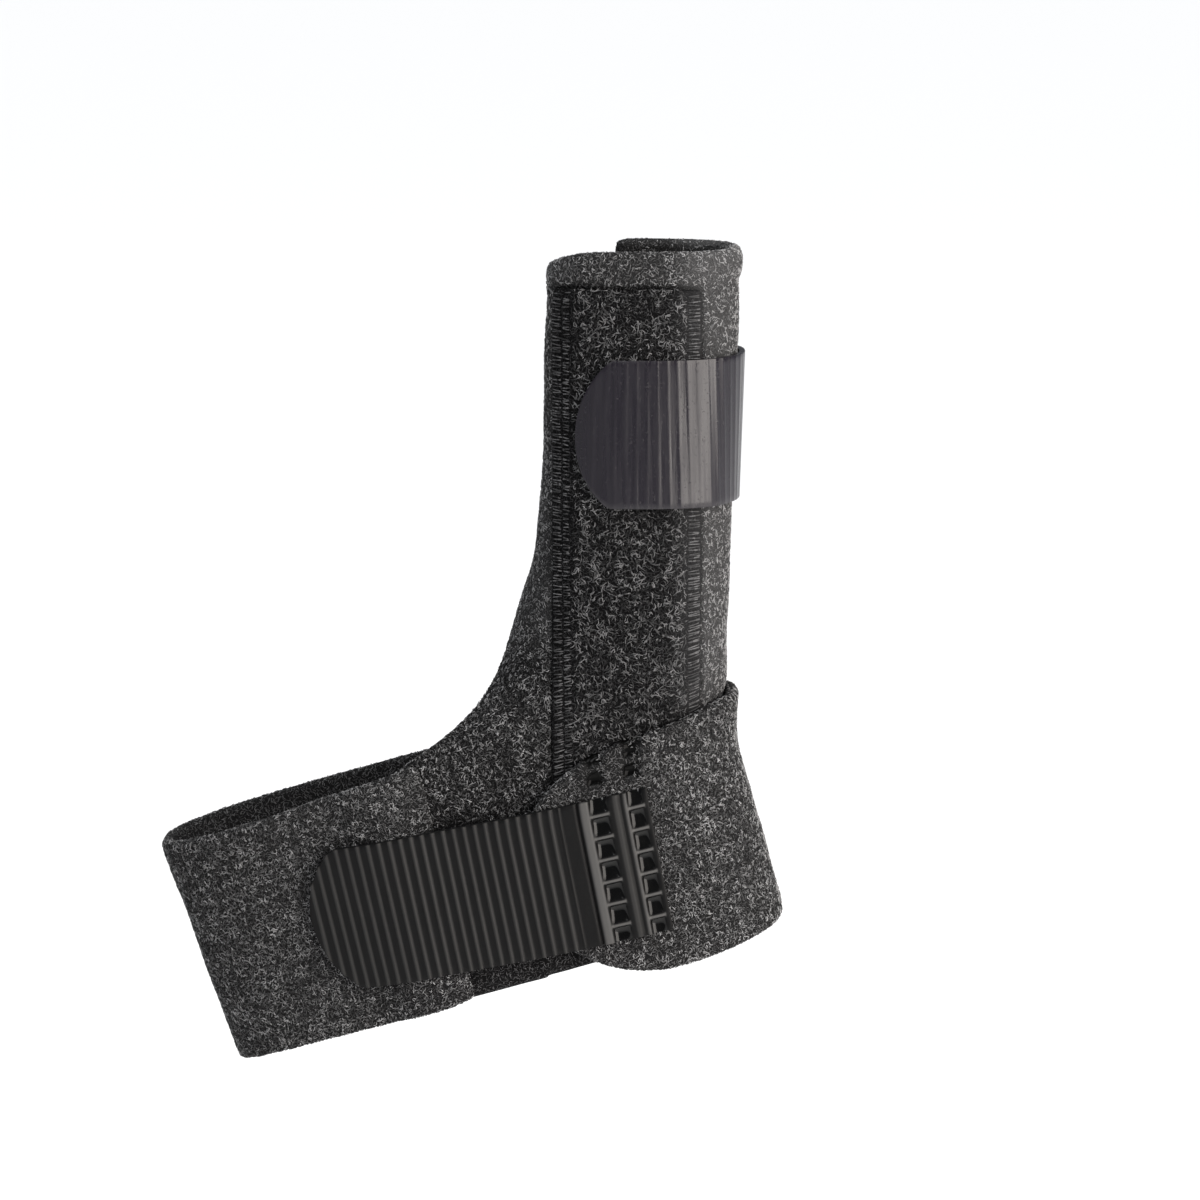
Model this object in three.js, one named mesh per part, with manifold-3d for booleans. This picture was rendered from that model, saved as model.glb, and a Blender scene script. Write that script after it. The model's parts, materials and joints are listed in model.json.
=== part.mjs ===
import * as THREE from "three";
import Module from "manifold-3d";

const solids = await Module();
solids.setup();

// Driving sizes in millimetres. X runs to the right, Y to the back and Z up the finger sleeve.
const SLEEVE_FABRIC = 2.2;
const POCKET_FABRIC = 1.0;
const POCKET_SINK = 0.7;
const TAB_SHEET = 0.85;
const PALM_RIB_HEIGHT = 0.3;
const FINGER_RIB_HEIGHT = 0.15;
const RIB_PITCH = 1.6;
const CLEAR = 0.3;
const HEM_SEAM = 65.3;
const POCKET_LEFT = -13.3;
const POCKET_RIGHT = 9.0;
const TAB_WIDTH = 22.2;
const TAB_END_RADIUS = 14.2;

// The strap goes round a flattened oval whose axis leans to the left going up.
const LEAN = THREE.MathUtils.degToRad(15.5);
const RING_CENTRE = new THREE.Vector3(-24.8, 0, -27.3);
const RING_MIDDLE = -1.8;
const RING_HALF_WIDTH = 41.05;
const RING_HALF_DEPTH = 13.5;
const RING_SQUARENESS = 2.8;
const SLEEVE_SQUARENESS = 2.5;

const radians = THREE.MathUtils.degToRad;
const mix = THREE.MathUtils.lerp;

function ease(value, from, to) {
  const part = THREE.MathUtils.clamp((value - from) / (to - from), 0, 1);
  return part * part * (3 - 2 * part);
}

// A smooth curve through a table of rows [place, value], places going up.
function curve(table) {
  const slope = (k) => {
    const a = table[Math.max(k - 1, 0)];
    const b = table[Math.min(k + 1, table.length - 1)];
    return (b[1] - a[1]) / (b[0] - a[0]);
  };
  return (place) => {
    if (place <= table[0][0]) return table[0][1];
    if (place >= table.at(-1)[0]) return table.at(-1)[1];
    const k = table.findIndex((row) => row[0] > place) - 1;
    const span = table[k + 1][0] - table[k][0];
    const f = (place - table[k][0]) / span;
    const start = table[k][1];
    const end = table[k + 1][1];
    const bend = (1 - f) * span * slope(k) - f * span * slope(k + 1) + (2 * f - 1) * (end - start);
    return mix(start, end, f) + f * (1 - f) * bend;
  };
}

// Eased steps through the same kind of table, level at each of its rows.
function steps(table) {
  return (place) => {
    if (place <= table[0][0]) return table[0][1];
    if (place >= table.at(-1)[0]) return table.at(-1)[1];
    const k = table.findIndex((row) => row[0] > place) - 1;
    return mix(table[k][1], table[k + 1][1], ease(place, table[k][0], table[k + 1][0]));
  };
}

// Distance from the middle of an oval to its edge, in the direction of an angle from the front.
function ovalReach(angle, halfWidth, halfDepth, squareness) {
  const across = Math.abs(Math.sin(angle) / halfWidth) ** squareness;
  const along = Math.abs(Math.cos(angle) / halfDepth) ** squareness;
  return (across + along) ** (-1 / squareness);
}

// The oval of the strap, walked by length from the middle of the front, to the right.
const ringWalk = [];
for (let k = 0; k <= 1440; k++) {
  const angle = radians(-180 + k / 4);
  const reach = ovalReach(angle, RING_HALF_WIDTH, RING_HALF_DEPTH, RING_SQUARENESS);
  const point = { s: reach * Math.sin(angle), y: -reach * Math.cos(angle), u: 0 };
  const last = ringWalk.at(-1);
  if (last) point.u = last.u + Math.hypot(point.s - last.s, point.y - last.y);
  ringWalk.push(point);
}
const RING_LENGTH = ringWalk.at(-1).u;
for (const point of ringWalk) point.u += RING_MIDDLE - RING_LENGTH / 2;
const RING_START = ringWalk[0].u;
const RING_RIGHT = RING_MIDDLE + RING_LENGTH / 4;

function ringSpot(u) {
  const wrapped = RING_START + THREE.MathUtils.euclideanModulo(u - RING_START, RING_LENGTH);
  let low = 0;
  let high = ringWalk.length - 1;
  while (high - low > 1) {
    const half = (low + high) >> 1;
    if (ringWalk[half].u <= wrapped) low = half;
    else high = half;
  }
  const a = ringWalk[low];
  const b = ringWalk[high];
  const f = (wrapped - a.u) / (b.u - a.u);
  const s = mix(a.s, b.s, f);
  const y = mix(a.y, b.y, f);
  const power = RING_SQUARENESS - 1;
  const ns = Math.sign(s) * (Math.abs(s) / RING_HALF_WIDTH) ** power / RING_HALF_WIDTH;
  const ny = Math.sign(y) * (Math.abs(y) / RING_HALF_DEPTH) ** power / RING_HALF_DEPTH;
  const size = Math.hypot(ns, ny);
  return { s, y, ns: ns / size, ny: ny / size };
}

// Length along the front of the oval that belongs to a distance across it.
function ringLengthAt(s) {
  const wanted = s - RING_MIDDLE;
  let low = 480;
  let high = 960;
  while (high - low > 1) {
    const half = (low + high) >> 1;
    if (ringWalk[half].s <= wanted) low = half;
    else high = half;
  }
  const a = ringWalk[low];
  const b = ringWalk[high];
  return mix(a.u, b.u, (wanted - a.s) / (b.s - a.s));
}

// Width of the oval at a height t along its axis: it widens to the left, and at the upper right lip.
function ringSpread(across, t) {
  if (across < 0) return across * (1 + 0.0015 * t);
  return across * (1 + 0.0005 * Math.max(0, Math.min(t, 20) - 7) ** 2);
}

// Where a length u round the oval, a height t along its axis and a lift off it stand in the part.
function ringPlace(u, t, lift) {
  const spot = ringSpot(u);
  const s = RING_MIDDLE + ringSpread(spot.s + spot.ns * lift, t);
  const x = RING_CENTRE.x + s * Math.cos(LEAN) - t * Math.sin(LEAN);
  const z = RING_CENTRE.z + s * Math.sin(LEAN) + t * Math.cos(LEAN);
  return new THREE.Vector3(x, spot.y + spot.ny * lift, z);
}

// A sheet with an outer face, an inner face and a rounded edge, from the cells of a grid.
function sheet(columns, rows, outer, inner, keeps = () => true) {
  const positions = [];
  const faces = [];
  const numbers = new Map();
  const spots = new Map();
  const number = (side, i, j) => {
    const key = side + "," + i + "," + j;
    if (!numbers.has(key)) {
      const spot = (side === "outer" ? outer : inner)(i, j);
      numbers.set(key, positions.length / 3);
      spots.set(key, spot);
      positions.push(spot.x, spot.y, spot.z);
    }
    return numbers.get(key);
  };
  const quad = (a, b, c, d) => faces.push(a, b, c, a, c, d);
  const kept = (i, j) => i >= 0 && j >= 0 && i < columns - 1 && j < rows - 1 && keeps(i, j);
  const edges = [];
  const turns = [[0, -1], [1, 0], [0, 1], [-1, 0]];
  for (let i = 0; i < columns - 1; i++) {
    for (let j = 0; j < rows - 1; j++) {
      if (!kept(i, j)) continue;
      const ring = [[i, j], [i + 1, j], [i + 1, j + 1], [i, j + 1]];
      quad(...ring.map(([p, q]) => number("outer", p, q)));
      quad(...ring.map(([p, q]) => number("inner", p, q)).reverse());
      turns.forEach(([di, dj], k) => {
        if (!kept(i + di, j + dj)) edges.push([ring[k], ring[(k + 1) % 4], ring[(k + 2) % 4]]);
      });
    }
  }
  const outwards = new Map();
  const middle = ([i, j]) => {
    const key = i + "," + j;
    return spots.get("outer," + key).clone().lerp(spots.get("inner," + key), 0.5);
  };
  for (const [a, b, opposite] of edges) {
    const along = middle(b).sub(middle(a)).normalize();
    const away = middle(b).sub(middle(opposite));
    away.addScaledVector(along, -away.dot(along)).normalize();
    for (const corner of [a, b]) {
      const key = corner.join();
      if (!outwards.has(key)) outwards.set(key, new THREE.Vector3());
      outwards.get(key).add(away);
    }
  }
  const edgeNumbers = new Map();
  const edgeNumber = (corner) => {
    const key = corner.join();
    if (!edgeNumbers.has(key)) {
      const thick = spots.get("outer," + key).distanceTo(spots.get("inner," + key));
      const spot = middle(corner).addScaledVector(outwards.get(key).normalize(), 0.42 * thick);
      edgeNumbers.set(key, positions.length / 3);
      positions.push(spot.x, spot.y, spot.z);
    }
    return edgeNumbers.get(key);
  };
  for (const [a, b] of edges) {
    quad(number("outer", ...b), number("outer", ...a), edgeNumber(a), edgeNumber(b));
    quad(edgeNumber(b), edgeNumber(a), number("inner", ...a), number("inner", ...b));
  }
  return closedOutwards(positions, faces);
}

function closedOutwards(positions, faces) {
  const p = (n) => new THREE.Vector3().fromArray(positions, 3 * n);
  let volume = 0;
  for (let k = 0; k < faces.length; k += 3) {
    volume += p(faces[k]).dot(p(faces[k + 1]).cross(p(faces[k + 2])));
  }
  if (volume < 0) faces.reverse();
  const geometry = new THREE.BufferGeometry();
  geometry.setAttribute("position", new THREE.Float32BufferAttribute(positions, 3));
  geometry.setIndex(faces);
  return geometry;
}

// Outline of the sleeve: rows [row height, left edge], from the lap on the strap up to the rim.
const leftEdge = curve([
  [-38, -32.0],
  [-20, -36.0],
  [-5, -39.0],
  [-1.8, -38.6],
  [0.4, -35.6],
  [3.6, -28.6],
  [7.2, -23.8],
  [11.5, -20.8],
  [16.1, -18.7],
  [22.4, -16.5],
  [30, -15.35],
  [39, -14.75],
  [54, -14.5],
  [66.6, -14.0],
  [71, -13.6],
]);
const rightEdge = curve([
  [-10, 13.1],
  [-2.2, 13.25],
  [10, 13.45],
  [29.7, 13.95],
  [54.4, 14.75],
  [67.8, 15.1],
  [71, 15.0],
]);
const frontDepth = (row) => mix(15.7, 11.3, THREE.MathUtils.clamp(row / 70, 0, 1));
const backDepth = (row) => mix(13.0, 11.6, THREE.MathUtils.clamp(row / 70, 0, 1));

// Rows of the sleeve lean with the strap at the palm and lie level on the finger.
const rowLean = (row) => Math.tan(LEAN) * ease(row, 30, 0);
const ROW_PIVOT = -6;

function tubePlace(angle, row) {
  const side = Math.sin(angle) < 0 ? -leftEdge(row) : rightEdge(row);
  const depth = Math.cos(angle) > 0 ? frontDepth(row) : backDepth(row);
  const reach = ovalReach(angle, side, depth, SLEEVE_SQUARENESS);
  const x = reach * Math.sin(angle);
  return new THREE.Vector3(x, -reach * Math.cos(angle), row + rowLean(row) * (x - ROW_PIVOT));
}

// The palm end of the sleeve lies on the oval of the strap, share 0 at its left edge and 1 at its right.
const palmRight = steps([
  [-37.8, -13.0],
  [-22, -6.0],
  [-9, 0],
]);

function palmPlace(share, row) {
  const lean = rowLean(row);
  const x = leftEdge(row);
  const z = row + lean * (x - ROW_PIVOT);
  const across = (x - RING_CENTRE.x) * Math.cos(LEAN) + (z - RING_CENTRE.z) * Math.sin(LEAN);
  const u = mix(ringLengthAt(across), RING_RIGHT + palmRight(row), share);
  const spot = ringSpot(u);
  let t = 0;
  for (let k = 0; k < 3; k++) {
    const s = RING_MIDDLE + ringSpread(spot.s + spot.ns * SLEEVE_FABRIC, t);
    const level = row - RING_CENTRE.z + lean * (RING_CENTRE.x - ROW_PIVOT + s * Math.cos(LEAN));
    t = (level - s * Math.sin(LEAN)) / (Math.cos(LEAN) + lean * Math.sin(LEAN));
  }
  return ringPlace(u, t, SLEEVE_FABRIC);
}

function frontPlace(angle, row) {
  const share = angle / Math.PI + 0.5;
  const side = 2 * share - 1;
  const from = side < 0 ? mix(8, 15, -side) : mix(8, -0.5, side);
  const to = side < 0 ? mix(-3, 0, -side) : mix(-3, -4.2, side);
  const weight = ease(row, from, to);
  if (weight === 0) return tubePlace(angle, row);
  return tubePlace(angle, row).lerp(palmPlace(share, row), weight);
}

// The left wing goes round the back outside the end of the right wing.
const wingLift = (angle) => (SLEEVE_FABRIC + CLEAR) * ease(angle, radians(-100), radians(-156));

function sleevePlace(angle, row) {
  if (Math.abs(angle) <= Math.PI / 2) return frontPlace(angle, row);
  const place = tubePlace(angle, row);
  if (angle < 0) {
    const outward = new THREE.Vector3(Math.sin(angle), -Math.cos(angle), 0);
    return place.addScaledVector(outward, wingLift(angle));
  }
  const shift = frontPlace(Math.PI / 2, row).sub(tubePlace(Math.PI / 2, row));
  return place.addScaledVector(shift, ease(angle, radians(150), Math.PI / 2));
}

// A point of the sleeve's outer face, moved off it along the face's own direction.
function sleeveLift(angle, row, lift) {
  const bounds = Math.abs(angle) <= Math.PI / 2 ? [-Math.PI / 2, Math.PI / 2] : [-4, 4];
  const turn = radians(0.6);
  const a = sleevePlace(Math.max(angle - turn, bounds[0]), row);
  const b = sleevePlace(Math.min(angle + turn, bounds[1]), row);
  const c = sleevePlace(angle, row - 0.4);
  const d = sleevePlace(angle, row + 0.4);
  const off = b.sub(a).cross(d.sub(c)).normalize();
  return sleevePlace(angle, row).addScaledVector(off, lift);
}

// Angle at which a row of the sleeve's front stands at a distance x.
function angleAt(x, row) {
  let low = -Math.PI / 2;
  let high = Math.PI / 2;
  for (let k = 0; k < 26; k++) {
    const half = (low + high) / 2;
    if (frontPlace(half, row).x < x) low = half;
    else high = half;
  }
  return (low + high) / 2;
}

// The pocket's left seam runs straight down, and bends in a little below the rim.
const pocketLeft = (row) => Math.max(POCKET_LEFT, 0.935 * leftEdge(row));

// Sleeve body: the rim is folded over, the wings end at a hem, and the front runs on over the palm.
const LEFT_WING_END = radians(-215);
const RIGHT_WING_END = radians(195);
const FRONT_LEFT_EDGE = -Math.PI / 2;
const FRONT_RIGHT_EDGE = Math.PI / 2;
const leftOfPocket = (gap, row) => angleAt(pocketLeft(row) - gap, row);
const rightOfPocket = (gap, row) => angleAt(POCKET_RIGHT + gap, row);
const sleeveStrips = [
  { cells: 9, from: () => LEFT_WING_END, to: () => FRONT_LEFT_EDGE },
  { cells: 6, from: () => FRONT_LEFT_EDGE, to: (row) => leftOfPocket(0.65, row) },
  { cells: 1, from: (row) => leftOfPocket(0.65, row), to: (row) => leftOfPocket(0.15, row) },
  { cells: 8, from: (row) => leftOfPocket(0.15, row), to: (row) => rightOfPocket(0.15, row) },
  { cells: 1, from: (row) => rightOfPocket(0.15, row), to: (row) => rightOfPocket(0.6, row) },
  { cells: 4, from: (row) => rightOfPocket(0.6, row), to: () => FRONT_RIGHT_EDGE },
  { cells: 8, from: () => FRONT_RIGHT_EDGE, to: () => RIGHT_WING_END },
];
const SLEEVE_COLUMNS = 1 + sleeveStrips.reduce((sum, strip) => sum + strip.cells, 0);
const FRONT_FIRST = 9;
const FRONT_LAST = 29;
const POCKET_FIRST = 16;
const POCKET_LAST = 24;

function sleeveAngle(column, row) {
  let first = 0;
  for (const strip of sleeveStrips) {
    if (column <= first + strip.cells) {
      return mix(strip.from(row), strip.to(row), (column - first) / strip.cells);
    }
    first += strip.cells;
  }
  return RIGHT_WING_END;
}

// Height of the wings' lower hem, by column.
function hemRow(column) {
  if (column <= FRONT_FIRST) return 15;
  if (column <= FRONT_LAST) return mix(15, -8.3, ease(column, FRONT_FIRST, FRONT_LAST));
  return mix(-8.3, 13, ease(column, FRONT_LAST, FRONT_LAST + 6));
}

const HEM_FOLD = [
  [70.3, 0.1],
  [69.3, 0.4],
  [67.4, 0.45],
  [66.0, 0.3],
  [65.5, -0.1],
  [64.8, 0],
];

// The rim is lower at the left side and along the back of the left wing.
const rimDrop = (column) => 3.1 * ease(sleeveAngle(column, HEM_SEAM), radians(-30), radians(-105));
const ABOVE_HEM = [0, 0.03, 0.065, 0.105, 0.15, 0.21, 0.28, 0.36, 0.45, 0.55, 0.66, 0.78, 0.9];
const BELOW_HEM = [0, 0.05, 0.15, 0.26, 0.37, 0.48, 0.58, 0.67, 0.75, 0.82, 0.88, 0.94];
const PALM_ROWS = BELOW_HEM.length;
const SLEEVE_ROWS = PALM_ROWS + ABOVE_HEM.length + HEM_FOLD.length;
const PALM_FOOT = -37.3;

function sleeveRow(column, j) {
  const hem = hemRow(column);
  if (j < PALM_ROWS) return mix(PALM_FOOT, hem, BELOW_HEM[j]);
  const k = j - PALM_ROWS;
  if (k < ABOVE_HEM.length) return mix(hem, HEM_FOLD.at(-1)[0] - rimDrop(column), ABOVE_HEM[k]);
  return HEM_FOLD[SLEEVE_ROWS - 1 - j][0] - rimDrop(column);
}

function sleeveFace(depth) {
  return (column, j) => {
    const row = sleeveRow(column, j);
    const fold = HEM_FOLD[SLEEVE_ROWS - 1 - j];
    const inPocket = column >= POCKET_FIRST && column <= POCKET_LAST && row < HEM_SEAM;
    let lift = inPocket ? -POCKET_SINK : 0;
    if (fold) lift = Math.max(lift, fold[1] - (inPocket ? POCKET_SINK : 0));
    if (inPocket) lift = -POCKET_SINK;
    if (depth) lift = -depth - (fold ? 0.6 * Math.max(0, fold[1]) : 0);
    return sleeveLift(sleeveAngle(column, row), row, lift);
  };
}

const sleeveBody = sheet(
  SLEEVE_COLUMNS,
  SLEEVE_ROWS,
  sleeveFace(0),
  sleeveFace(SLEEVE_FABRIC),
  (i, j) => j >= PALM_ROWS || (i >= FRONT_FIRST && i < FRONT_LAST),
);

// Stay pocket: a panel sewn over the front of the sleeve, from the folded rim down to the palm's foot.
const POCKET_ROWS = [-33, -31, -27, -22, -17, -12, -8, -4, 0, 4, 9, 15, 22, 30, 38, 46, 54, 60, 63.6, 64.5];
const POCKET_COLUMNS = [0, 0.035, 0.11, 0.22, 0.36, 0.5, 0.64, 0.78, 0.89, 0.965, 1];

function pocketFace(lift) {
  return (i, j) => {
    const row = POCKET_ROWS[j];
    const x = mix(pocketLeft(row), POCKET_RIGHT, POCKET_COLUMNS[i]);
    return sleeveLift(angleAt(x, row), row, lift);
  };
}

const pocketOuter = -POCKET_SINK + CLEAR + POCKET_FABRIC;
const stayPocket = sheet(
  POCKET_COLUMNS.length,
  POCKET_ROWS.length,
  pocketFace(pocketOuter),
  pocketFace(pocketOuter - POCKET_FABRIC),
);

// Strap: rows [length round the oval, lift of its inner face, thickness, top edge, bottom edge].
const AROUND = -RING_LENGTH;
const RING_LEFT = RING_MIDDLE - RING_LENGTH / 4;
const RING_BACK = RING_MIDDLE - RING_LENGTH / 2;
const strapRows = [
  [AROUND + 8.2, 3.1, 2.0, 16.4, -17.7],
  [AROUND + 20, 3.1, 2.0, 16.4, -17.8],
  [AROUND + 27, 3.1, 2.0, 16.4, -18.0],
  [AROUND + 34, 3.4, 2.0, 16.8, -17.9],
  [AROUND + 39, 3.3, 2.0, 17.1, -17.6],
  [AROUND + RING_RIGHT, 2.7, 2.0, 16.8, -17.1],
  [AROUND + RING_RIGHT + 5, 3.1, 2.0, 16.8, -16.9],
  [AROUND + RING_RIGHT + 9, 3.0, 2.0, 16.8, -17.0],
  [AROUND + RING_RIGHT + 16, 1.2, 2.0, 17.0, -17.2],
  [AROUND + RING_RIGHT + 22, 0.2, 2.0, 17.2, -17.2],
  [RING_BACK, 0.2, 2.0, 17.4, -17.3],
  [RING_LEFT, 0.2, 2.0, 17.7, -17.3],
  [-38, 0.2, 2.0, 18.2, -16.0],
  [-24, 0.2, 2.0, 19.3, -15.2],
  [-18.5, 0.3, 2.0, 20.0, -15.1],
  [-13.5, 2.0, 2.0, 20.5, -14.9],
  [-11, 2.5, 2.0, 20.7, -14.8],
  [-7.5, 2.5, 1.9, 21.0, -14.6],
  [-4.6, 2.5, 1.3, 21.3, -14.4],
];
const strapColumn = (n) => steps(strapRows.map((row) => [row[0], row[n]]));
const strapLift = strapColumn(1);
const strapThickness = strapColumn(2);
const strapTop = curve(strapRows.map((row) => [row[0], row[3]]));
const strapBottom = curve(strapRows.map((row) => [row[0], row[4]]));
const TONGUE_TIP = AROUND + 8.2;
const TONGUE_LENGTH = 18.3;

function strapStops() {
  const stops = [0.3, 0.9, 1.9, 3.3, 5.2, 7.6, 10.5, 14, 18.3, 22.5].map((step) => TONGUE_TIP + step);
  for (const [place, count] of [[AROUND + RING_RIGHT - 12, 1], [AROUND + RING_RIGHT + 18, 11],
    [RING_LEFT - 12, 9], [RING_LEFT + 12, 8], [-19, 5], [-9, 5], [-4.6, 3]]) {
    const from = stops.at(-1);
    for (let k = 1; k <= count; k++) stops.push(mix(from, place, k / count));
  }
  return stops;
}

const STRAP_STOPS = strapStops();
const STRAP_ACROSS = [0, 0.04, 0.15, 0.32, 0.5, 0.68, 0.85, 0.96, 1];

function strapFace(side) {
  return (i, j) => {
    const u = STRAP_STOPS[i];
    const into = Math.max(0, (TONGUE_TIP + TONGUE_LENGTH - u) / TONGUE_LENGTH);
    const round = Math.sqrt(1 - into * into);
    const t = mix(strapBottom(u), strapTop(u), STRAP_ACROSS[j]);
    const lift = strapLift(u) + (side ? strapThickness(u) : 0);
    const seamSlant = 0.042 * t * ease(u, -14, -4.6);
    return ringPlace(u + seamSlant, t * round, lift);
  };
}

let handStrap = sheet(STRAP_STOPS.length, STRAP_ACROSS.length, strapFace(1), strapFace(0));

// Length walked on a tab: half its width at a distance from the tip of its round end.
function tabHalfWidth(distance) {
  if (distance >= TAB_END_RADIUS) return TAB_WIDTH / 2;
  const chord = Math.sqrt(Math.max(0, TAB_END_RADIUS ** 2 - (TAB_END_RADIUS - distance) ** 2));
  return Math.min(TAB_WIDTH / 2, chord);
}

// Stops along a tab, four to a rib, and the height of the ribs at each.
function tabStops(length, ribEnd) {
  const stops = [0.12, 0.4];
  for (let at = 0.8; at < ribEnd; at += RIB_PITCH) stops.push(at, at + 0.35, at + 0.65, at + 1.0);
  const smooth = Math.max(2, Math.round((length - stops.at(-1)) / 3));
  const from = stops.at(-1);
  for (let k = 1; k <= smooth; k++) stops.push(mix(from, length, k / smooth));
  return stops;
}

const TAB_ACROSS = [-1, -0.4, 0.4, 1];

function tabSheet(length, ribEnd, ribHeight, place) {
  const stops = tabStops(length, ribEnd);
  const face = (outer) => (i, j) => {
    const at = stops[i];
    const onRib = at < ribEnd + 1 && i >= 2 && (i - 2) % 4 > 0 && (i - 2) % 4 < 3;
    const lift = outer ? TAB_SHEET + (onRib ? ribHeight : 0) : 0;
    return place(at, TAB_ACROSS[j] * tabHalfWidth(at), lift);
  };
  return sheet(stops.length, TAB_ACROSS.length, face(true), face(false));
}

// Palm hook tab: lies on the strap at its round end and is welded to the tongue at its right end.
const PALM_TAB_LENGTH = 52.6;
const PALM_TAB_RIBS = 38.5;
const PALM_TAB_TURN = radians(-4.2);
const PALM_TAB_TIP = { u: -24.9, t: 2.5 };
const palmTabLift = curve([
  [-25, 2.5],
  [-20.5, 3.15],
  [-14.5, 4.3],
  [-11, 4.8],
  [-2.5, 4.8],
  [8.5, 5.4],
]);

function palmTabPlace(along, across, lift) {
  const u = PALM_TAB_TIP.u + along * Math.cos(PALM_TAB_TURN) - across * Math.sin(PALM_TAB_TURN);
  const t = PALM_TAB_TIP.t + along * Math.sin(PALM_TAB_TURN) + across * Math.cos(PALM_TAB_TURN);
  return ringPlace(u, t, palmTabLift(u) + lift);
}

let palmHookTab = tabSheet(PALM_TAB_LENGTH, PALM_TAB_RIBS, PALM_RIB_HEIGHT, palmTabPlace);

// Finger hook tab: comes from the wing at the back, round the right side, to the front of the sleeve.
const FINGER_TAB_MIDDLE = 43.3;
const FINGER_TAB_START = radians(-39);
const FINGER_TAB_END = radians(213);
const fingerWalk = [{ angle: FINGER_TAB_START, length: 0 }];

function fingerTabBase(angle) {
  const onWing = ease(angle, radians(116), radians(137));
  const onPocket = ease(angle, radians(60), radians(36));
  return CLEAR + onWing * wingLift(angle - 2 * Math.PI) + onPocket * pocketOuter;
}

function fingerTabOn(angle, z, lift) {
  const wrapped = angle > Math.PI / 2 ? tubePlace(angle, z) : sleevePlace(angle, z);
  const side = Math.sin(angle) < 0 ? -leftEdge(z) : rightEdge(z);
  const depth = Math.cos(angle) > 0 ? frontDepth(z) : backDepth(z);
  const power = SLEEVE_SQUARENESS - 1;
  const across = (Math.abs(wrapped.x) / side) ** power / side;
  const back = (Math.abs(wrapped.y) / depth) ** power / depth;
  const off = new THREE.Vector3(Math.sign(wrapped.x) * across, Math.sign(wrapped.y) * back, 0).normalize();
  return wrapped.addScaledVector(off, fingerTabBase(angle) + lift);
}

while (fingerWalk.at(-1).angle < FINGER_TAB_END) {
  const last = fingerWalk.at(-1);
  const angle = last.angle + radians(0.5);
  const step = fingerTabOn(angle, FINGER_TAB_MIDDLE, 0.4);
  step.sub(fingerTabOn(last.angle, FINGER_TAB_MIDDLE, 0.4));
  fingerWalk.push({ angle, length: last.length + step.length() });
}
const FINGER_TAB_LENGTH = fingerWalk.at(-1).length - 0.01;

function fingerAngle(length) {
  const k = Math.max(1, fingerWalk.findIndex((row) => row.length >= length));
  const [a, b] = [fingerWalk[k - 1], fingerWalk[k]];
  return mix(a.angle, b.angle, (length - a.length) / (b.length - a.length));
}

const FINGER_TAB_RIBS = 38.5;
const fingerTabPlace = (along, across, lift) =>
  fingerTabOn(fingerAngle(along), FINGER_TAB_MIDDLE + across, lift);
const fingerHookTab = tabSheet(FINGER_TAB_LENGTH, FINGER_TAB_RIBS, FINGER_RIB_HEIGHT, fingerTabPlace);

// Weld cells: two rows of square pits through the palm tab's right end, and two dents above each row.
function toSolid(geometry) {
  const positions = new Float32Array(geometry.getAttribute("position").array);
  const faces = new Uint32Array(geometry.index.array);
  return new solids.Manifold(new solids.Mesh({ numProp: 3, vertProperties: positions, triVerts: faces }));
}

function fromSolid(solid) {
  const mesh = solid.getMesh();
  const positions = [];
  for (let k = 0; k < mesh.numVert; k++) {
    positions.push(...mesh.vertProperties.slice(k * mesh.numProp, k * mesh.numProp + 3));
  }
  return closedOutwards(positions, [...mesh.triVerts]);
}

function pit(along, across, depthFrom, depthTo, width, height) {
  const corners = (lift) => [[-1, -1], [1, -1], [1, 1], [-1, 1]].map(([a, b]) =>
    palmTabPlace(along + (a * width) / 2, across + (b * height) / 2, lift));
  const spots = [...corners(depthFrom), ...corners(depthTo)];
  const positions = spots.flatMap((spot) => spot.toArray());
  const faces = [0, 2, 1, 0, 3, 2, 4, 5, 6, 4, 6, 7];
  for (let k = 0; k < 4; k++) {
    const next = (k + 1) % 4;
    faces.push(k, next, 4 + next, k, 4 + next, 4 + k);
  }
  return toSolid(closedOutwards(positions, faces));
}

const WELD_ROWS = [46.1, 51.2];
const WELD_PITCH = 3.1;
const weldPits = [];
const weldDents = [];
for (const along of WELD_ROWS) {
  for (let k = -3; k <= 3; k++) weldPits.push(pit(along, k * WELD_PITCH, 0.35, 2.2, 2.1, 2.4));
  for (const k of [4, 5]) weldDents.push(pit(along, k * WELD_PITCH + 0.3, -0.9, 1.5, 1.7, 2.0));
}
palmHookTab = fromSolid(toSolid(palmHookTab).subtract(solids.Manifold.union(weldPits)));
handStrap = fromSolid(toSolid(handStrap).subtract(solids.Manifold.union(weldDents)));

const fabricDark = { color: 0x2b2b2d, roughness: 0.95, metalness: 0 };
const fabricGrey = { color: 0x38383a, roughness: 0.95, metalness: 0 };
const plasticBlack = { color: 0x1c1b1d, roughness: 0.35, metalness: 0 };
const part = new THREE.Group();

function add(name, geometry, look) {
  const mesh = new THREE.Mesh(geometry, new THREE.MeshStandardMaterial(look));
  mesh.name = name;
  part.add(mesh);
}

add("sleeve_body", sleeveBody, fabricDark);
add("stay_pocket", stayPocket, fabricDark);
add("hand_strap", handStrap, fabricGrey);
add("palm_hook_tab", palmHookTab, plasticBlack);
add("finger_hook_tab", fingerHookTab, plasticBlack);

export default part;
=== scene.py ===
import bisect
import json
import math

import bmesh
import bpy
from mathutils import Matrix, Vector, noise

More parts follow.
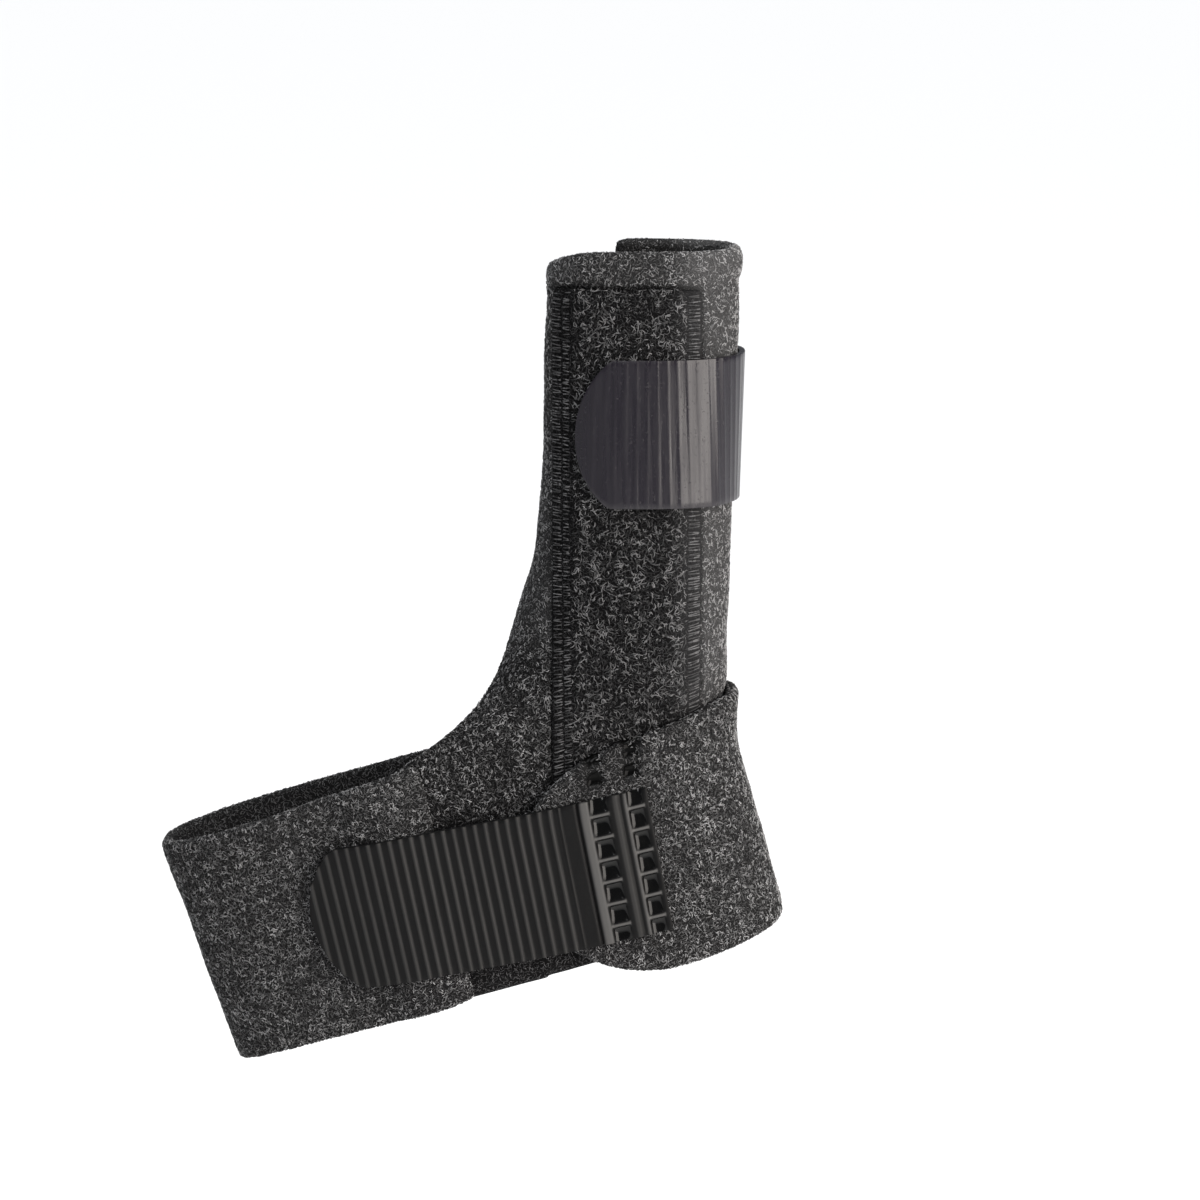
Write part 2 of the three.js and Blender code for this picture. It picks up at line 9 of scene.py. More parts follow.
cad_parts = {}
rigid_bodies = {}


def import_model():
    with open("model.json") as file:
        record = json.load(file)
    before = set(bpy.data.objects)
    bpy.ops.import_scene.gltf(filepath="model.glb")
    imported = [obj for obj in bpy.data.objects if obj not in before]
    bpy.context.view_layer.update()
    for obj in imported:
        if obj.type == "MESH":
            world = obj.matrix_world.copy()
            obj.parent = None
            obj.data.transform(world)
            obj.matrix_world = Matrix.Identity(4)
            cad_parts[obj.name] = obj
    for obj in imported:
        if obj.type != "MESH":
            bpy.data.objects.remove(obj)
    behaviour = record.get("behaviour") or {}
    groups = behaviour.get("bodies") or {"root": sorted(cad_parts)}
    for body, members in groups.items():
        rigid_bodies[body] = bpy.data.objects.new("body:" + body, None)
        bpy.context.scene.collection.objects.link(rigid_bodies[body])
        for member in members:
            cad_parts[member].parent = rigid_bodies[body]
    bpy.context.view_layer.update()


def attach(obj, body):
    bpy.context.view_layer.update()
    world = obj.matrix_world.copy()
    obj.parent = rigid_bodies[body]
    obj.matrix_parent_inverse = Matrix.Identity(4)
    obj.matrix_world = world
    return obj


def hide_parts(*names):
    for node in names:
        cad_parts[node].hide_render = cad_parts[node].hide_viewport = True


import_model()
MM = 0.001

# Camera: it stands in front of the palm, a little above the finger sleeve's rim, and looks down ten degrees,
# so that the inside of the rim's back wall just shows.
CAMERA_AIM = Vector((-6.154, 0, 15.683)) * MM
CAMERA_RISE = math.radians(10)
CAMERA_AWAY = 700 * MM
camera = bpy.data.objects.new("camera", bpy.data.cameras.new("camera"))
bpy.context.scene.collection.objects.link(camera)
away = Vector((0, -math.cos(CAMERA_RISE), math.sin(CAMERA_RISE)))
camera.location = CAMERA_AIM + away * CAMERA_AWAY
camera.rotation_euler = (-away).to_track_quat("-Z", "Y").to_euler()
camera.data.lens = 136.5
camera.data.sensor_width = 36
camera.data.clip_end = 60
bpy.context.scene.camera = camera

# Studio: a pale matt floor far below the splint, which hangs as a finger would hold it, and soft lamps.
# The biggest lamp stands at the right, where it draws the long highlight on the ribbed tab of the finger.
FLOOR_LEVEL = -260 * MM
floor_mesh = bmesh.new()
bmesh.ops.create_grid(floor_mesh, x_segments=2, y_segments=2, size=20)
bmesh.ops.translate(floor_mesh, verts=floor_mesh.verts, vec=(0, 0, FLOOR_LEVEL))
floor = bpy.data.objects.new("studio_floor", bpy.data.meshes.new("studio_floor"))
floor_mesh.to_mesh(floor.data)
floor_mesh.free()
bpy.context.scene.collection.objects.link(floor)
paper = bpy.data.materials.new("pale_floor_paper")
paper.use_nodes = True
paper.node_tree.nodes["Principled BSDF"].inputs["Base Color"].default_value = (0.9, 0.9, 0.9, 1)
paper.node_tree.nodes["Principled BSDF"].inputs["Roughness"].default_value = 0.9
floor.data.materials.append(paper)


def lamp(name, place, aim, width, height, power, colour=(1, 1, 1)):
    light = bpy.data.objects.new(name, bpy.data.lights.new(name, "AREA"))
    light.data.shape = "RECTANGLE"
    light.data.size = width
    light.data.size_y = height
    light.data.energy = power
    light.data.color = colour
    light.location = place
    light.rotation_euler = (Vector(aim) - Vector(place)).to_track_quat("-Z", "Y").to_euler()
    bpy.context.scene.collection.objects.link(light)


lamp("side_lamp", (0.88, -0.64, 0.28), (0, 0, 0.02), 1.2, 0.9, 23, (1, 0.94, 0.88))
lamp("front_lamp", (-0.35, -1.1, 0.8), (0, 0, 0), 0.45, 0.45, 5)
overhead = bpy.data.objects.new("overhead_lamp", bpy.data.lights.new("overhead_lamp", "SUN"))
overhead.data.energy = 3.0
overhead.data.angle = math.radians(50)
bpy.context.scene.collection.objects.link(overhead)
world = bpy.data.worlds.new("studio_air")
world.use_nodes = True
world.node_tree.nodes["Background"].inputs["Color"].default_value = (0.9, 0.94, 1, 1)
world.node_tree.nodes["Background"].inputs["Strength"].default_value = 0.2
bpy.context.scene.world = world
bpy.context.scene.view_settings.view_transform = "Standard"

# Sleeve body: one padded piece of dark loop fabric about 2 mm thick. It is wrapped round the finger with its
# two wings lapped at the back, its rim is folded over and sewn, and its front runs on over the palm.
SLEEVE_FABRIC = 2.2
SLEEVE_SQUARENESS = 2.5
HEM_SEAM = 65.3
HEM_TOP = 70
POCKET_LEFT = -13.3
POCKET_RIGHT = 9.0
POCKET_SINK = 0.7
CLEAR = 0.3
LEAN = math.radians(15.5)
RING_CENTRE = Vector((-24.8, 0, -27.3))
RING_MIDDLE = -1.8
RING_HALF_WIDTH = 41.05
RING_HALF_DEPTH = 13.5
RING_SQUARENESS = 2.8


def mix(a, b, share):
    return a + (b - a) * share


def clamp(value, low=0.0, high=1.0):
    return max(low, min(high, value))


def ease(value, start, end):
    part = clamp((value - start) / (end - start))
    return part * part * (3 - 2 * part)


def curve(table):
    """A smooth curve through rows (place, value), places going up."""
    places = [row[0] for row in table]

    def slope(k):
        a = table[max(k - 1, 0)]
        b = table[min(k + 1, len(table) - 1)]
        return (b[1] - a[1]) / (b[0] - a[0])

    def at(place):
        if place <= places[0]:
            return table[0][1]
        if place >= places[-1]:
            return table[-1][1]
        k = bisect.bisect_right(places, place) - 1
        span = places[k + 1] - places[k]
        f = (place - places[k]) / span
        rise = table[k + 1][1] - table[k][1]
        bend = (1 - f) * span * slope(k) - f * span * slope(k + 1) + (2 * f - 1) * rise
        return mix(table[k][1], table[k + 1][1], f) + f * (1 - f) * bend

    return at


def steps(table):
    """Eased steps through rows (place, value), level at each row."""
    places = [row[0] for row in table]

    def at(place):
        if place <= places[0]:
            return table[0][1]
        if place >= places[-1]:
            return table[-1][1]
        k = bisect.bisect_right(places, place) - 1
        return mix(table[k][1], table[k + 1][1], ease(place, places[k], places[k + 1]))

    return at


def oval_reach(angle, half_width, half_depth, squareness):
    across = abs(math.sin(angle) / half_width) ** squareness
    along = abs(math.cos(angle) / half_depth) ** squareness
    return (across + along) ** (-1 / squareness)


# The palm end lies on the flattened oval of the strap, walked here by length from the middle of its front.
RING_STEPS = 1440
FRONT_STEP = RING_STEPS // 3
ring_walk = []
for k in range(RING_STEPS + 1):
    turn = math.radians(-180 + 360 * k / RING_STEPS)
    reach = oval_reach(turn, RING_HALF_WIDTH, RING_HALF_DEPTH, RING_SQUARENESS)
    spot = [reach * math.sin(turn), -reach * math.cos(turn), 0.0]
    if ring_walk:
        spot[2] = ring_walk[-1][2] + math.dist(spot[:2], ring_walk[-1][:2])
    ring_walk.append(spot)
RING_LENGTH = ring_walk[-1][2]
RING_START = RING_MIDDLE - RING_LENGTH / 2
RING_RIGHT = RING_MIDDLE + RING_LENGTH / 4
RING_LEFT = RING_MIDDLE - RING_LENGTH / 4
ring_lengths = [RING_START + spot[2] for spot in ring_walk]
ring_front = [spot[0] for spot in ring_walk[FRONT_STEP:2 * FRONT_STEP + 1]]


def ring_spot(u):
    """Place and outward direction on the strap's oval, a length u from the middle of its front."""
    wrapped = RING_START + (u - RING_START) % RING_LENGTH
    k = min(bisect.bisect_right(ring_lengths, wrapped), len(ring_walk) - 1) - 1
    f = (wrapped - ring_lengths[k]) / (ring_lengths[k + 1] - ring_lengths[k])
    s = mix(ring_walk[k][0], ring_walk[k + 1][0], f)
    y = mix(ring_walk[k][1], ring_walk[k + 1][1], f)
    power = RING_SQUARENESS - 1
    ns = math.copysign((abs(s) / RING_HALF_WIDTH) ** power / RING_HALF_WIDTH, s)
    ny = math.copysign((abs(y) / RING_HALF_DEPTH) ** power / RING_HALF_DEPTH, y)
    size = math.hypot(ns, ny)
    return s, y, ns / size, ny / size


def ring_length_at(across):
    """Length along the oval's front at a distance across it."""
    wanted = across - RING_MIDDLE
    k = int(clamp(bisect.bisect_right(ring_front, wanted), 1, len(ring_front) - 1)) - 1
    f = (wanted - ring_front[k]) / (ring_front[k + 1] - ring_front[k])
    return mix(ring_lengths[FRONT_STEP + k], ring_lengths[FRONT_STEP + k + 1], f)


def ring_spread(across, t):
    """The strap's oval widens to the left going up, and at the lip of its upper right edge."""
    if across < 0:
        return across * (1 + 0.0015 * t)
    return across * (1 + 0.0005 * max(0, min(t, 20) - 7) ** 2)


def ring_place(u, t, lift):
    s, y, ns, ny = ring_spot(u)
    across = RING_MIDDLE + ring_spread(s + ns * lift, t)
    x = RING_CENTRE.x + across * math.cos(LEAN) - t * math.sin(LEAN)
    z = RING_CENTRE.z + across * math.sin(LEAN) + t * math.cos(LEAN)
    return Vector((x, y + ny * lift, z))


# Edges of the sleeve, left and right of the finger's axis, by height. The left one flares out over the palm.
left_edge = curve([
    (-38, -32.0), (-20, -36.0), (-5, -39.0), (-1.8, -38.6), (0.4, -35.6), (3.6, -28.6), (7.2, -23.8), (11.5, -20.8),
    (16.1, -18.7), (22.4, -16.5), (30, -15.35), (39, -14.75), (54, -14.5), (66.6, -14.0), (71, -13.6),
])
right_edge = curve([
    (-10, 13.1), (-2.2, 13.25), (10, 13.45), (29.7, 13.95), (54.4, 14.75), (67.8, 15.1), (71, 15.0),
])
palm_right = steps([(-37.8, -13.0), (-22, -6.0), (-9, 0.0)])
ROW_PIVOT = -6


def row_lean(row):
    return math.tan(LEAN) * ease(row, 30, 0)


def tube_size(angle, row):
    """Half width and half depth of the finger's tube: its front is deep at the palm and flat at the rim."""
    side = -left_edge(row) if math.sin(angle) < 0 else right_edge(row)
    share = clamp(row / HEM_TOP)
    return side, mix(15.7, 11.3, share) if math.cos(angle) > 0 else mix(13.0, 11.6, share)


def tube_place(angle, row):
    reach = oval_reach(angle, *tube_size(angle, row), SLEEVE_SQUARENESS)
    x = reach * math.sin(angle)
    return Vector((x, -reach * math.cos(angle), row + row_lean(row) * (x - ROW_PIVOT)))


def palm_place(share, row):
    """The palm end of the sleeve on the strap's oval, share 0 at its left edge and 1 at its right."""
    lean = row_lean(row)
    x = left_edge(row)
    z = row + lean * (x - ROW_PIVOT)
    across = (x - RING_CENTRE.x) * math.cos(LEAN) + (z - RING_CENTRE.z) * math.sin(LEAN)
    u = mix(ring_length_at(across), RING_RIGHT + palm_right(row), share)
    s, _, ns, _ = ring_spot(u)
    t = 0
    for _ in range(3):
        spread = RING_MIDDLE + ring_spread(s + ns * SLEEVE_FABRIC, t)
        level = row - RING_CENTRE.z + lean * (RING_CENTRE.x - ROW_PIVOT + spread * math.cos(LEAN))
        t = (level - spread * math.sin(LEAN)) / (math.cos(LEAN) + lean * math.sin(LEAN))
    return ring_place(u, t, SLEEVE_FABRIC)


def front_place(angle, row):
    share = angle / math.pi + 0.5
    side = 2 * share - 1
    start = mix(8, 15, -side) if side < 0 else mix(8, -0.5, side)
    end = mix(-3, 0, -side) if side < 0 else mix(-3, -4.2, side)
    weight = ease(row, start, end)
    place = tube_place(angle, row)
    return place.lerp(palm_place(share, row), weight) if weight else place


def wing_lift(angle):
    """The left wing goes round the back outside the end of the right wing."""
    return (SLEEVE_FABRIC + CLEAR) * ease(angle, math.radians(-100), math.radians(-156))


def sleeve_place(angle, row):
    if abs(angle) <= math.pi / 2:
        return front_place(angle, row)
    place = tube_place(angle, row)
    if angle < 0:
        return place + Vector((math.sin(angle), -math.cos(angle), 0)) * wing_lift(angle)
    shift = front_place(math.pi / 2, row) - tube_place(math.pi / 2, row)
    return place + shift * ease(angle, math.radians(150), math.pi / 2)


def sleeve_lift(angle, row, lift):
    """A point of the sleeve's outer face, moved off it along the face's own direction."""
    limit = math.pi / 2 if abs(angle) <= math.pi / 2 else 4
    turn = math.radians(0.6)
    a = sleeve_place(max(angle - turn, -limit), row)
    b = sleeve_place(min(angle + turn, limit), row)
    c = sleeve_place(angle, row - 0.4)
    d = sleeve_place(angle, row + 0.4)
    return sleeve_place(angle, row) + (b - a).cross(d - c).normalized() * lift


def angle_at(x, row):
    low, high = -math.pi / 2, math.pi / 2
    for _ in range(22):
        half = (low + high) / 2
        if front_place(half, row).x < x:
            low = half
        else:
            high = half
    return (low + high) / 2


def pocket_left(row):
    return max(POCKET_LEFT, 0.935 * left_edge(row))


def wobble(place, size, amount):
    """Slight unevenness of soft cloth: waves of a size in millimetres, up to an amount in millimetres."""
    return amount * noise.noise(place / size)


def cloth_sheet(name, columns, rows, place, keep=None, edge=0.0, melt_and_highlight=None):
    """A grid of vertices moved to where the cloth lies, with its free edges let out by the edge's own length.
    The marks it stores are 1 where a weld has melted the surface and -1 where a painted highlight pales it."""
    mesh = bmesh.new()
    bmesh.ops.create_grid(mesh, x_segments=columns - 1, y_segments=rows - 1, size=1)
    mesh.verts.ensure_lookup_table()
    marks = mesh.verts.layers.float.new("melt_and_highlight")
    for n, vertex in enumerate(mesh.verts):
        vertex.co = place(n % columns, n // columns)
        if melt_and_highlight:
            vertex[marks] = melt_and_highlight(n % columns, n // columns)
    if keep:
        gone = [face for face in mesh.faces if not keep(*cell_of(face, columns))]
        bmesh.ops.delete(mesh, geom=gone, context="FACES")
    let_out(mesh, edge)
    return finish_mesh(name, mesh)


def cell_of(face, columns):
    first = min(vertex.index for vertex in face.verts)
    return first % columns, first // columns


def let_out(mesh, edge):
    """Moves the vertices of the open edges outwards, along the sheet."""
    outwards = {}
    for line in mesh.edges:
        if not line.is_boundary:
            continue
        a, b = line.verts
        along = (b.co - a.co).normalized()
        side = (a.co + b.co) / 2 - line.link_faces[0].calc_center_median()
        side = (side - along * side.dot(along)).normalized()
        for vertex in (a, b):
            outwards[vertex] = outwards.get(vertex, Vector()) + side
    for vertex, side in outwards.items():
        vertex.co += side.normalized() * edge


def finish_mesh(name, mesh):
    """Turns a bmesh in millimetres into a smooth-shaded object in metres."""
    bmesh.ops.scale(mesh, verts=mesh.verts, vec=(MM, MM, MM))
    for face in mesh.faces:
        face.smooth = True
    piece = bpy.data.objects.new(name, bpy.data.meshes.new(name))
    mesh.to_mesh(piece.data)
    mesh.free()
    bpy.context.scene.collection.objects.link(piece)
    return piece


def thicken(piece, thickness, levels=1, bevel=None):
    solid = piece.modifiers.new("thickness", "SOLIDIFY")
    solid.thickness = thickness * MM
    solid.offset = -1
    if bevel:
        rounding = piece.modifiers.new("rounded_edge", "BEVEL")
        rounding.width = bevel * MM
        rounding.segments = 2
        rounding.limit_method = "ANGLE"
        rounding.angle_limit = math.radians(50)
    if levels:
        soft = piece.modifiers.new("softness", "SUBSURF")
        soft.levels = levels
        soft.render_levels = levels


LEFT_WING_END = math.radians(-215)
RIGHT_WING_END = math.radians(195)
FRONT_LEFT = -math.pi / 2
FRONT_RIGHT = math.pi / 2
sleeve_strips = [
    (16, lambda row: LEFT_WING_END, lambda row: FRONT_LEFT),
    (12, lambda row: FRONT_LEFT, lambda row: angle_at(pocket_left(row) - 0.9, row)),
    (2, lambda row: angle_at(pocket_left(row) - 0.9, row), lambda row: angle_at(pocket_left(row) - 0.1, row)),
    (16, lambda row: angle_at(pocket_left(row) - 0.1, row), lambda row: angle_at(POCKET_RIGHT + 0.1, row)),
    (2, lambda row: angle_at(POCKET_RIGHT + 0.1, row), lambda row: angle_at(POCKET_RIGHT + 0.9, row)),
    (8, lambda row: angle_at(POCKET_RIGHT + 0.9, row), lambda row: FRONT_RIGHT),
    (16, lambda row: FRONT_RIGHT, lambda row: RIGHT_WING_END),
]
SLEEVE_COLUMNS = 1 + sum(strip[0] for strip in sleeve_strips)
FRONT_FIRST = 16
FRONT_LAST = 56
POCKET_FIRST = 30
POCKET_LAST = 46
PALM_FOOT = -37.3
# The rim: how far its fold stands out by height, and the heights of its rows of vertices.
HEM_FOLD = curve([
    (64.3, 0), (65.0, -0.12), (65.4, -0.18), (66.0, 0.05), (66.8, 0.3), (68.0, 0.38), (69.2, 0.3), (69.9, 0.05),
])
HEM_ROWS = [64.8, 65.2, 65.6, 66.2, 67.2, 68.4, 69.3, 69.9]
PALM_ROWS = 22
FINGER_ROWS = 30
SLEEVE_ROWS = PALM_ROWS + FINGER_ROWS + len(HEM_ROWS)


def sleeve_angle(column, row):
    first = 0
    for cells, start, end in sleeve_strips:
        if column <= first + cells:
            return mix(start(row), end(row), (column - first) / cells)
        first += cells
    return RIGHT_WING_END


rim_angles = [sleeve_angle(column, HEM_SEAM) for column in range(SLEEVE_COLUMNS)]


def rim_drop(column):
    return 3.1 * ease(rim_angles[column], math.radians(-30), math.radians(-105))


def hem_row(column):
    if column <= FRONT_FIRST:
        return 15
    if column <= FRONT_LAST:
        return mix(15, -8.3, ease(column, FRONT_FIRST, FRONT_LAST))
    return mix(-8.3, 13, ease(column, FRONT_LAST, FRONT_LAST + 12))


def sleeve_row(column, j):
    hem = hem_row(column)
    if j < PALM_ROWS:
        share = j / PALM_ROWS
        return mix(PALM_FOOT, hem, share * (1.75 - 0.75 * share))
    j -= PALM_ROWS
    if j < FINGER_ROWS:
        share = j / FINGER_ROWS
        return mix(hem, HEM_ROWS[0] - rim_drop(column), share * (0.5 + 0.5 * share) if share < 1 else 1)
    return HEM_ROWS[j - FINGER_ROWS] - rim_drop(column)


def sleeve_spot(column, j):
    row = sleeve_row(column, j)
    fullness = 0.3 + 0.7 * ease(rim_angles[column], math.radians(-85), math.radians(-45))
    lift = fullness * HEM_FOLD(row + rim_drop(column))
    if POCKET_FIRST <= column <= POCKET_LAST and row < HEM_SEAM - 0.3:
        lift = -POCKET_SINK
    place = sleeve_lift(sleeve_angle(column, row), row, lift)
    return sleeve_lift(sleeve_angle(column, row), row, lift + wobble(place, 7, 0.22) + wobble(place, 2.3, 0.1))


def sleeve_kept(column, j):
    return j >= PALM_ROWS or FRONT_FIRST <= column < FRONT_LAST


sleeve = cloth_sheet(
    "padded_sleeve", SLEEVE_COLUMNS, SLEEVE_ROWS, sleeve_spot, keep=sleeve_kept, edge=0.4 * SLEEVE_FABRIC
)
thicken(sleeve, SLEEVE_FABRIC)


class Value:
    """A shader socket on which Python's own signs make Math nodes."""

    def __init__(self, finish, socket):
        self.finish = finish
        self.socket = socket

    def sum_of(self, operation, *values):
        return self.finish.node("ShaderNodeMath", {"operation": operation}, dict(enumerate(values)))

    def __add__(self, other):
        return self.sum_of("ADD", self, other)

    def __radd__(self, other):
        return self.sum_of("ADD", other, self)

    def __sub__(self, other):
        return self.sum_of("SUBTRACT", self, other)

    def __rsub__(self, other):
        return self.sum_of("SUBTRACT", other, self)

    def __mul__(self, other):
        return self.sum_of("MULTIPLY", self, other)

    def __rmul__(self, other):
        return self.sum_of("MULTIPLY", other, self)

    def __truediv__(self, other):
        return self.sum_of("DIVIDE", self, other)

    def __pow__(self, other):
        return self.sum_of("POWER", self, other)

    def __abs__(self):
        return self.sum_of("ABSOLUTE", self)

    def most(self, other):
        return self.sum_of("MAXIMUM", self, other)

    def ramp(self, start, end, low=0.0, high=1.0):
        """Low up to start, high from end, eased between them."""
        return self.finish.node(
            "ShaderNodeMapRange",
            {"interpolation_type": "SMOOTHSTEP"},
            {"Value": self, "From Min": start, "From Max": end, "To Min": low, "To Max": high},
        )


class Finish:
    """A procedural material: one method makes any node, from its type, settings and sockets."""

    def __init__(self, name, **constants):
        self.material = bpy.data.materials.new(name)
        self.material.use_nodes = True
        self.tree = self.material.node_tree
        self.shader = self.tree.nodes["Principled BSDF"]
        for socket, value in constants.items():
            self.shader.inputs[socket.replace("_", " ")].default_value = value

    def node(self, kind, settings=None, inputs=None, output=0):
        made = self.tree.nodes.new(kind)
        for name, value in (settings or {}).items():
            setattr(made, name, value)
        for name, value in (inputs or {}).items():
            self.feed(made.inputs[name], value)
        return Value(self, made.outputs[output])

    def feed(self, socket, value):
        if isinstance(value, Value):
            self.tree.links.new(value.socket, socket)
        else:
            socket.default_value = value

    def vector(self, operation, *values, output=0):
        return self.node("ShaderNodeVectorMath", {"operation": operation}, dict(enumerate(values)), output)

    def blend(self, share, a, b):
        """One colour into another."""
        return self.node("ShaderNodeMix", {"data_type": "RGBA"}, {0: share, 6: a, 7: b}, 2)

    def noise(self, place, scale, detail=2.0, output=0):
        return self.node("ShaderNodeTexNoise", {}, {"Vector": place, "Scale": scale, "Detail": detail}, output)

    def surface(self, colour=None, roughness=None, bump=None, depth=0.1):
        if colour:
            self.feed(self.shader.inputs["Base Color"], colour)
        if roughness:
            self.feed(self.shader.inputs["Roughness"], roughness)
        if bump:
            raised = self.node("ShaderNodeBump", {}, {"Height": bump, "Distance": depth * MM, "Strength": 1.0})
            self.feed(self.shader.inputs["Normal"], raised)
        return self.material


def strands(finish, place, spacing, length, width, shift):
    """Loose fibres lying on the cloth, one at a random turn in each cell. Gives where they are and their shade."""
    moved = finish.vector("ADD", place, (shift, 1.7 * shift, -shift))
    cell = finish.node("ShaderNodeTexVoronoi", {}, {"Vector": moved, "Scale": 1 / spacing}, 2)
    shade = Value(finish, cell.socket.node.outputs[1])
    offset = finish.vector("SUBTRACT", moved, cell)
    face = finish.node("ShaderNodeNewGeometry", output=1)
    lean = finish.vector("SUBTRACT", shade, (0.5, 0.5, 0.5))
    along = finish.vector("NORMALIZE", finish.vector("CROSS_PRODUCT", face, lean))
    beside = finish.vector("CROSS_PRODUCT", face, along)
    run = abs(finish.vector("DOT_PRODUCT", offset, along, output=1))
    gap = abs(finish.vector("DOT_PRODUCT", offset, beside, output=1))
    shown = gap.ramp(width, 0.3 * width) * run.ramp(length, 0.6 * length)
    tone = finish.node("ShaderNodeSeparateColor", {}, {0: shade})
    return shown, tone


def painted_sheen_share(finish, where, left, right, rim):
    """Share of painted sheen, standing for the lamps' light on loose fuzz, which pales the cloth at the sleeve's
    left side, its right side and its rim.
    """
    x = finish.node("ShaderNodeSeparateXYZ", {}, {0: where})
    z = Value(finish, x.socket.node.outputs[2])
    at_left = x.ramp(-13 * MM, -8.5 * MM, left, 0.0) * z.ramp(7 * MM, 14 * MM)
    return x.ramp(3 * MM, 9.5 * MM, 0.0, right) + at_left + z.ramp(64.9 * MM, 66 * MM, 0.0, rim)


MELTED_BLACK = (0.001, 0.001, 0.001, 1)


def loop_cloth(name, dark, light, layers, painted_sheen=(0, 0, 0), gloss=0.0):
    """Brushed loop fabric: a dark knitted ground under layers of paler fibres, each with its spacing, half length,
    half width and shift. Shares of painted sheen pale it at the sleeve's left side, its right side and its rim. The
    gloss is that of the spots which a weld has melted."""
    cloth = Finish(name, Roughness=1.0, Specular_IOR_Level=0.03)
    where = cloth.node("ShaderNodeTexCoord", output=3)
    place = cloth.vector("SCALE", where, output=0)
    place.socket.node.inputs["Scale"].default_value = 1 / MM
    warp = cloth.vector("SUBTRACT", cloth.noise(place, 1.1, 1.0, 1), (0.5, 0.5, 0.5))
    bent = cloth.vector("ADD", place, cloth.vector("MULTIPLY", warp, (0.55, 0.55, 0.55)))
    height = None
    pale = None
    for spacing, length, width, shift in layers:
        shown, tone = strands(cloth, bent, spacing, length, width, shift)
        lit = shown * (0.15 + 0.85 * tone ** 1.6)
        pale = lit if pale is None else pale.most(lit)
        height = shown if height is None else height.most(shown * (0.5 + 0.5 * tone))
    patch = cloth.noise(place, 0.16, 3.0).ramp(0.3, 0.7, 0.8, 1.15)
    # Painted sheen: the cloth is paled at the sides and the rim as if the lamps lit its fuzz.
    colour = cloth.blend(pale * patch + painted_sheen_share(cloth, where, *painted_sheen), (*dark, 1), (*light, 1))
    if gloss:
        melted = cloth.node("ShaderNodeAttribute", {"attribute_name": "melt_and_highlight"}, output=2)
        colour = cloth.blend(melted, colour, MELTED_BLACK)
        height = height * (1 - melted)
        cloth.feed(cloth.shader.inputs["Coat Weight"], melted * gloss)
    return cloth.surface(colour, bump=height, depth=0.28)


FIBRE_LAYERS = [(0.7, 0.36, 0.085, 0), (0.9, 0.45, 0.08, 9), (0.55, 0.3, 0.08, 23)]
# The sleeve's cloth gets painted sheen at its left side, its right side and its rim.
sleeve_cloth = loop_cloth(
    "sleeve_loop_cloth", (0.005, 0.005, 0.0052), (0.09, 0.09, 0.092), FIBRE_LAYERS, painted_sheen=(0.14, 0.4, 0.12)
)
sleeve.data.materials.append(sleeve_cloth)
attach(sleeve, "root")
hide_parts("sleeve_body")


def loop_shapes(name, length, thick):
    """A few bent fibres, each a piece of a ring that leans so that its ends sink into the cloth."""
    shapes = bpy.data.collections.new(name)
    for k, (turn, lean) in enumerate(((60, 20), (100, 25), (140, 30), (85, 40), (120, 45), (45, 15))):
        bend = math.radians(turn)
        radius = length * (0.8 + 0.08 * k) / bend
        mesh = bmesh.new()
        bmesh.ops.create_circle(mesh, cap_ends=False, segments=3, radius=thick / 2)
        bmesh.ops.rotate(mesh, verts=mesh.verts, matrix=Matrix.Rotation(math.pi / 2, 3, "X"))
        bmesh.ops.translate(mesh, verts=mesh.verts, vec=(radius, 0, 0))
        ring = mesh.verts[:] + mesh.edges[:]
        bmesh.ops.spin(mesh, geom=ring, axis=(0, 0, 1), angle=bend, steps=2, use_duplicate=False)
        bmesh.ops.holes_fill(mesh, edges=mesh.edges, sides=3)
        bmesh.ops.rotate(mesh, verts=mesh.verts, matrix=Matrix.Rotation(-bend / 2, 3, "Z"))
        bmesh.ops.translate(mesh, verts=mesh.verts, vec=(-radius, 0, 0))
        bmesh.ops.rotate(mesh, verts=mesh.verts, matrix=Matrix.Rotation(-math.radians(lean), 3, "Y"))
        bmesh.ops.translate(mesh, verts=mesh.verts, vec=(0, 0, 0.06))
        bmesh.ops.recalc_face_normals(mesh, faces=mesh.faces)
        fibre = finish_mesh(f"{name}_{k}", mesh)
        bpy.context.scene.collection.objects.unlink(fibre)
        shapes.objects.link(fibre)
    return shapes


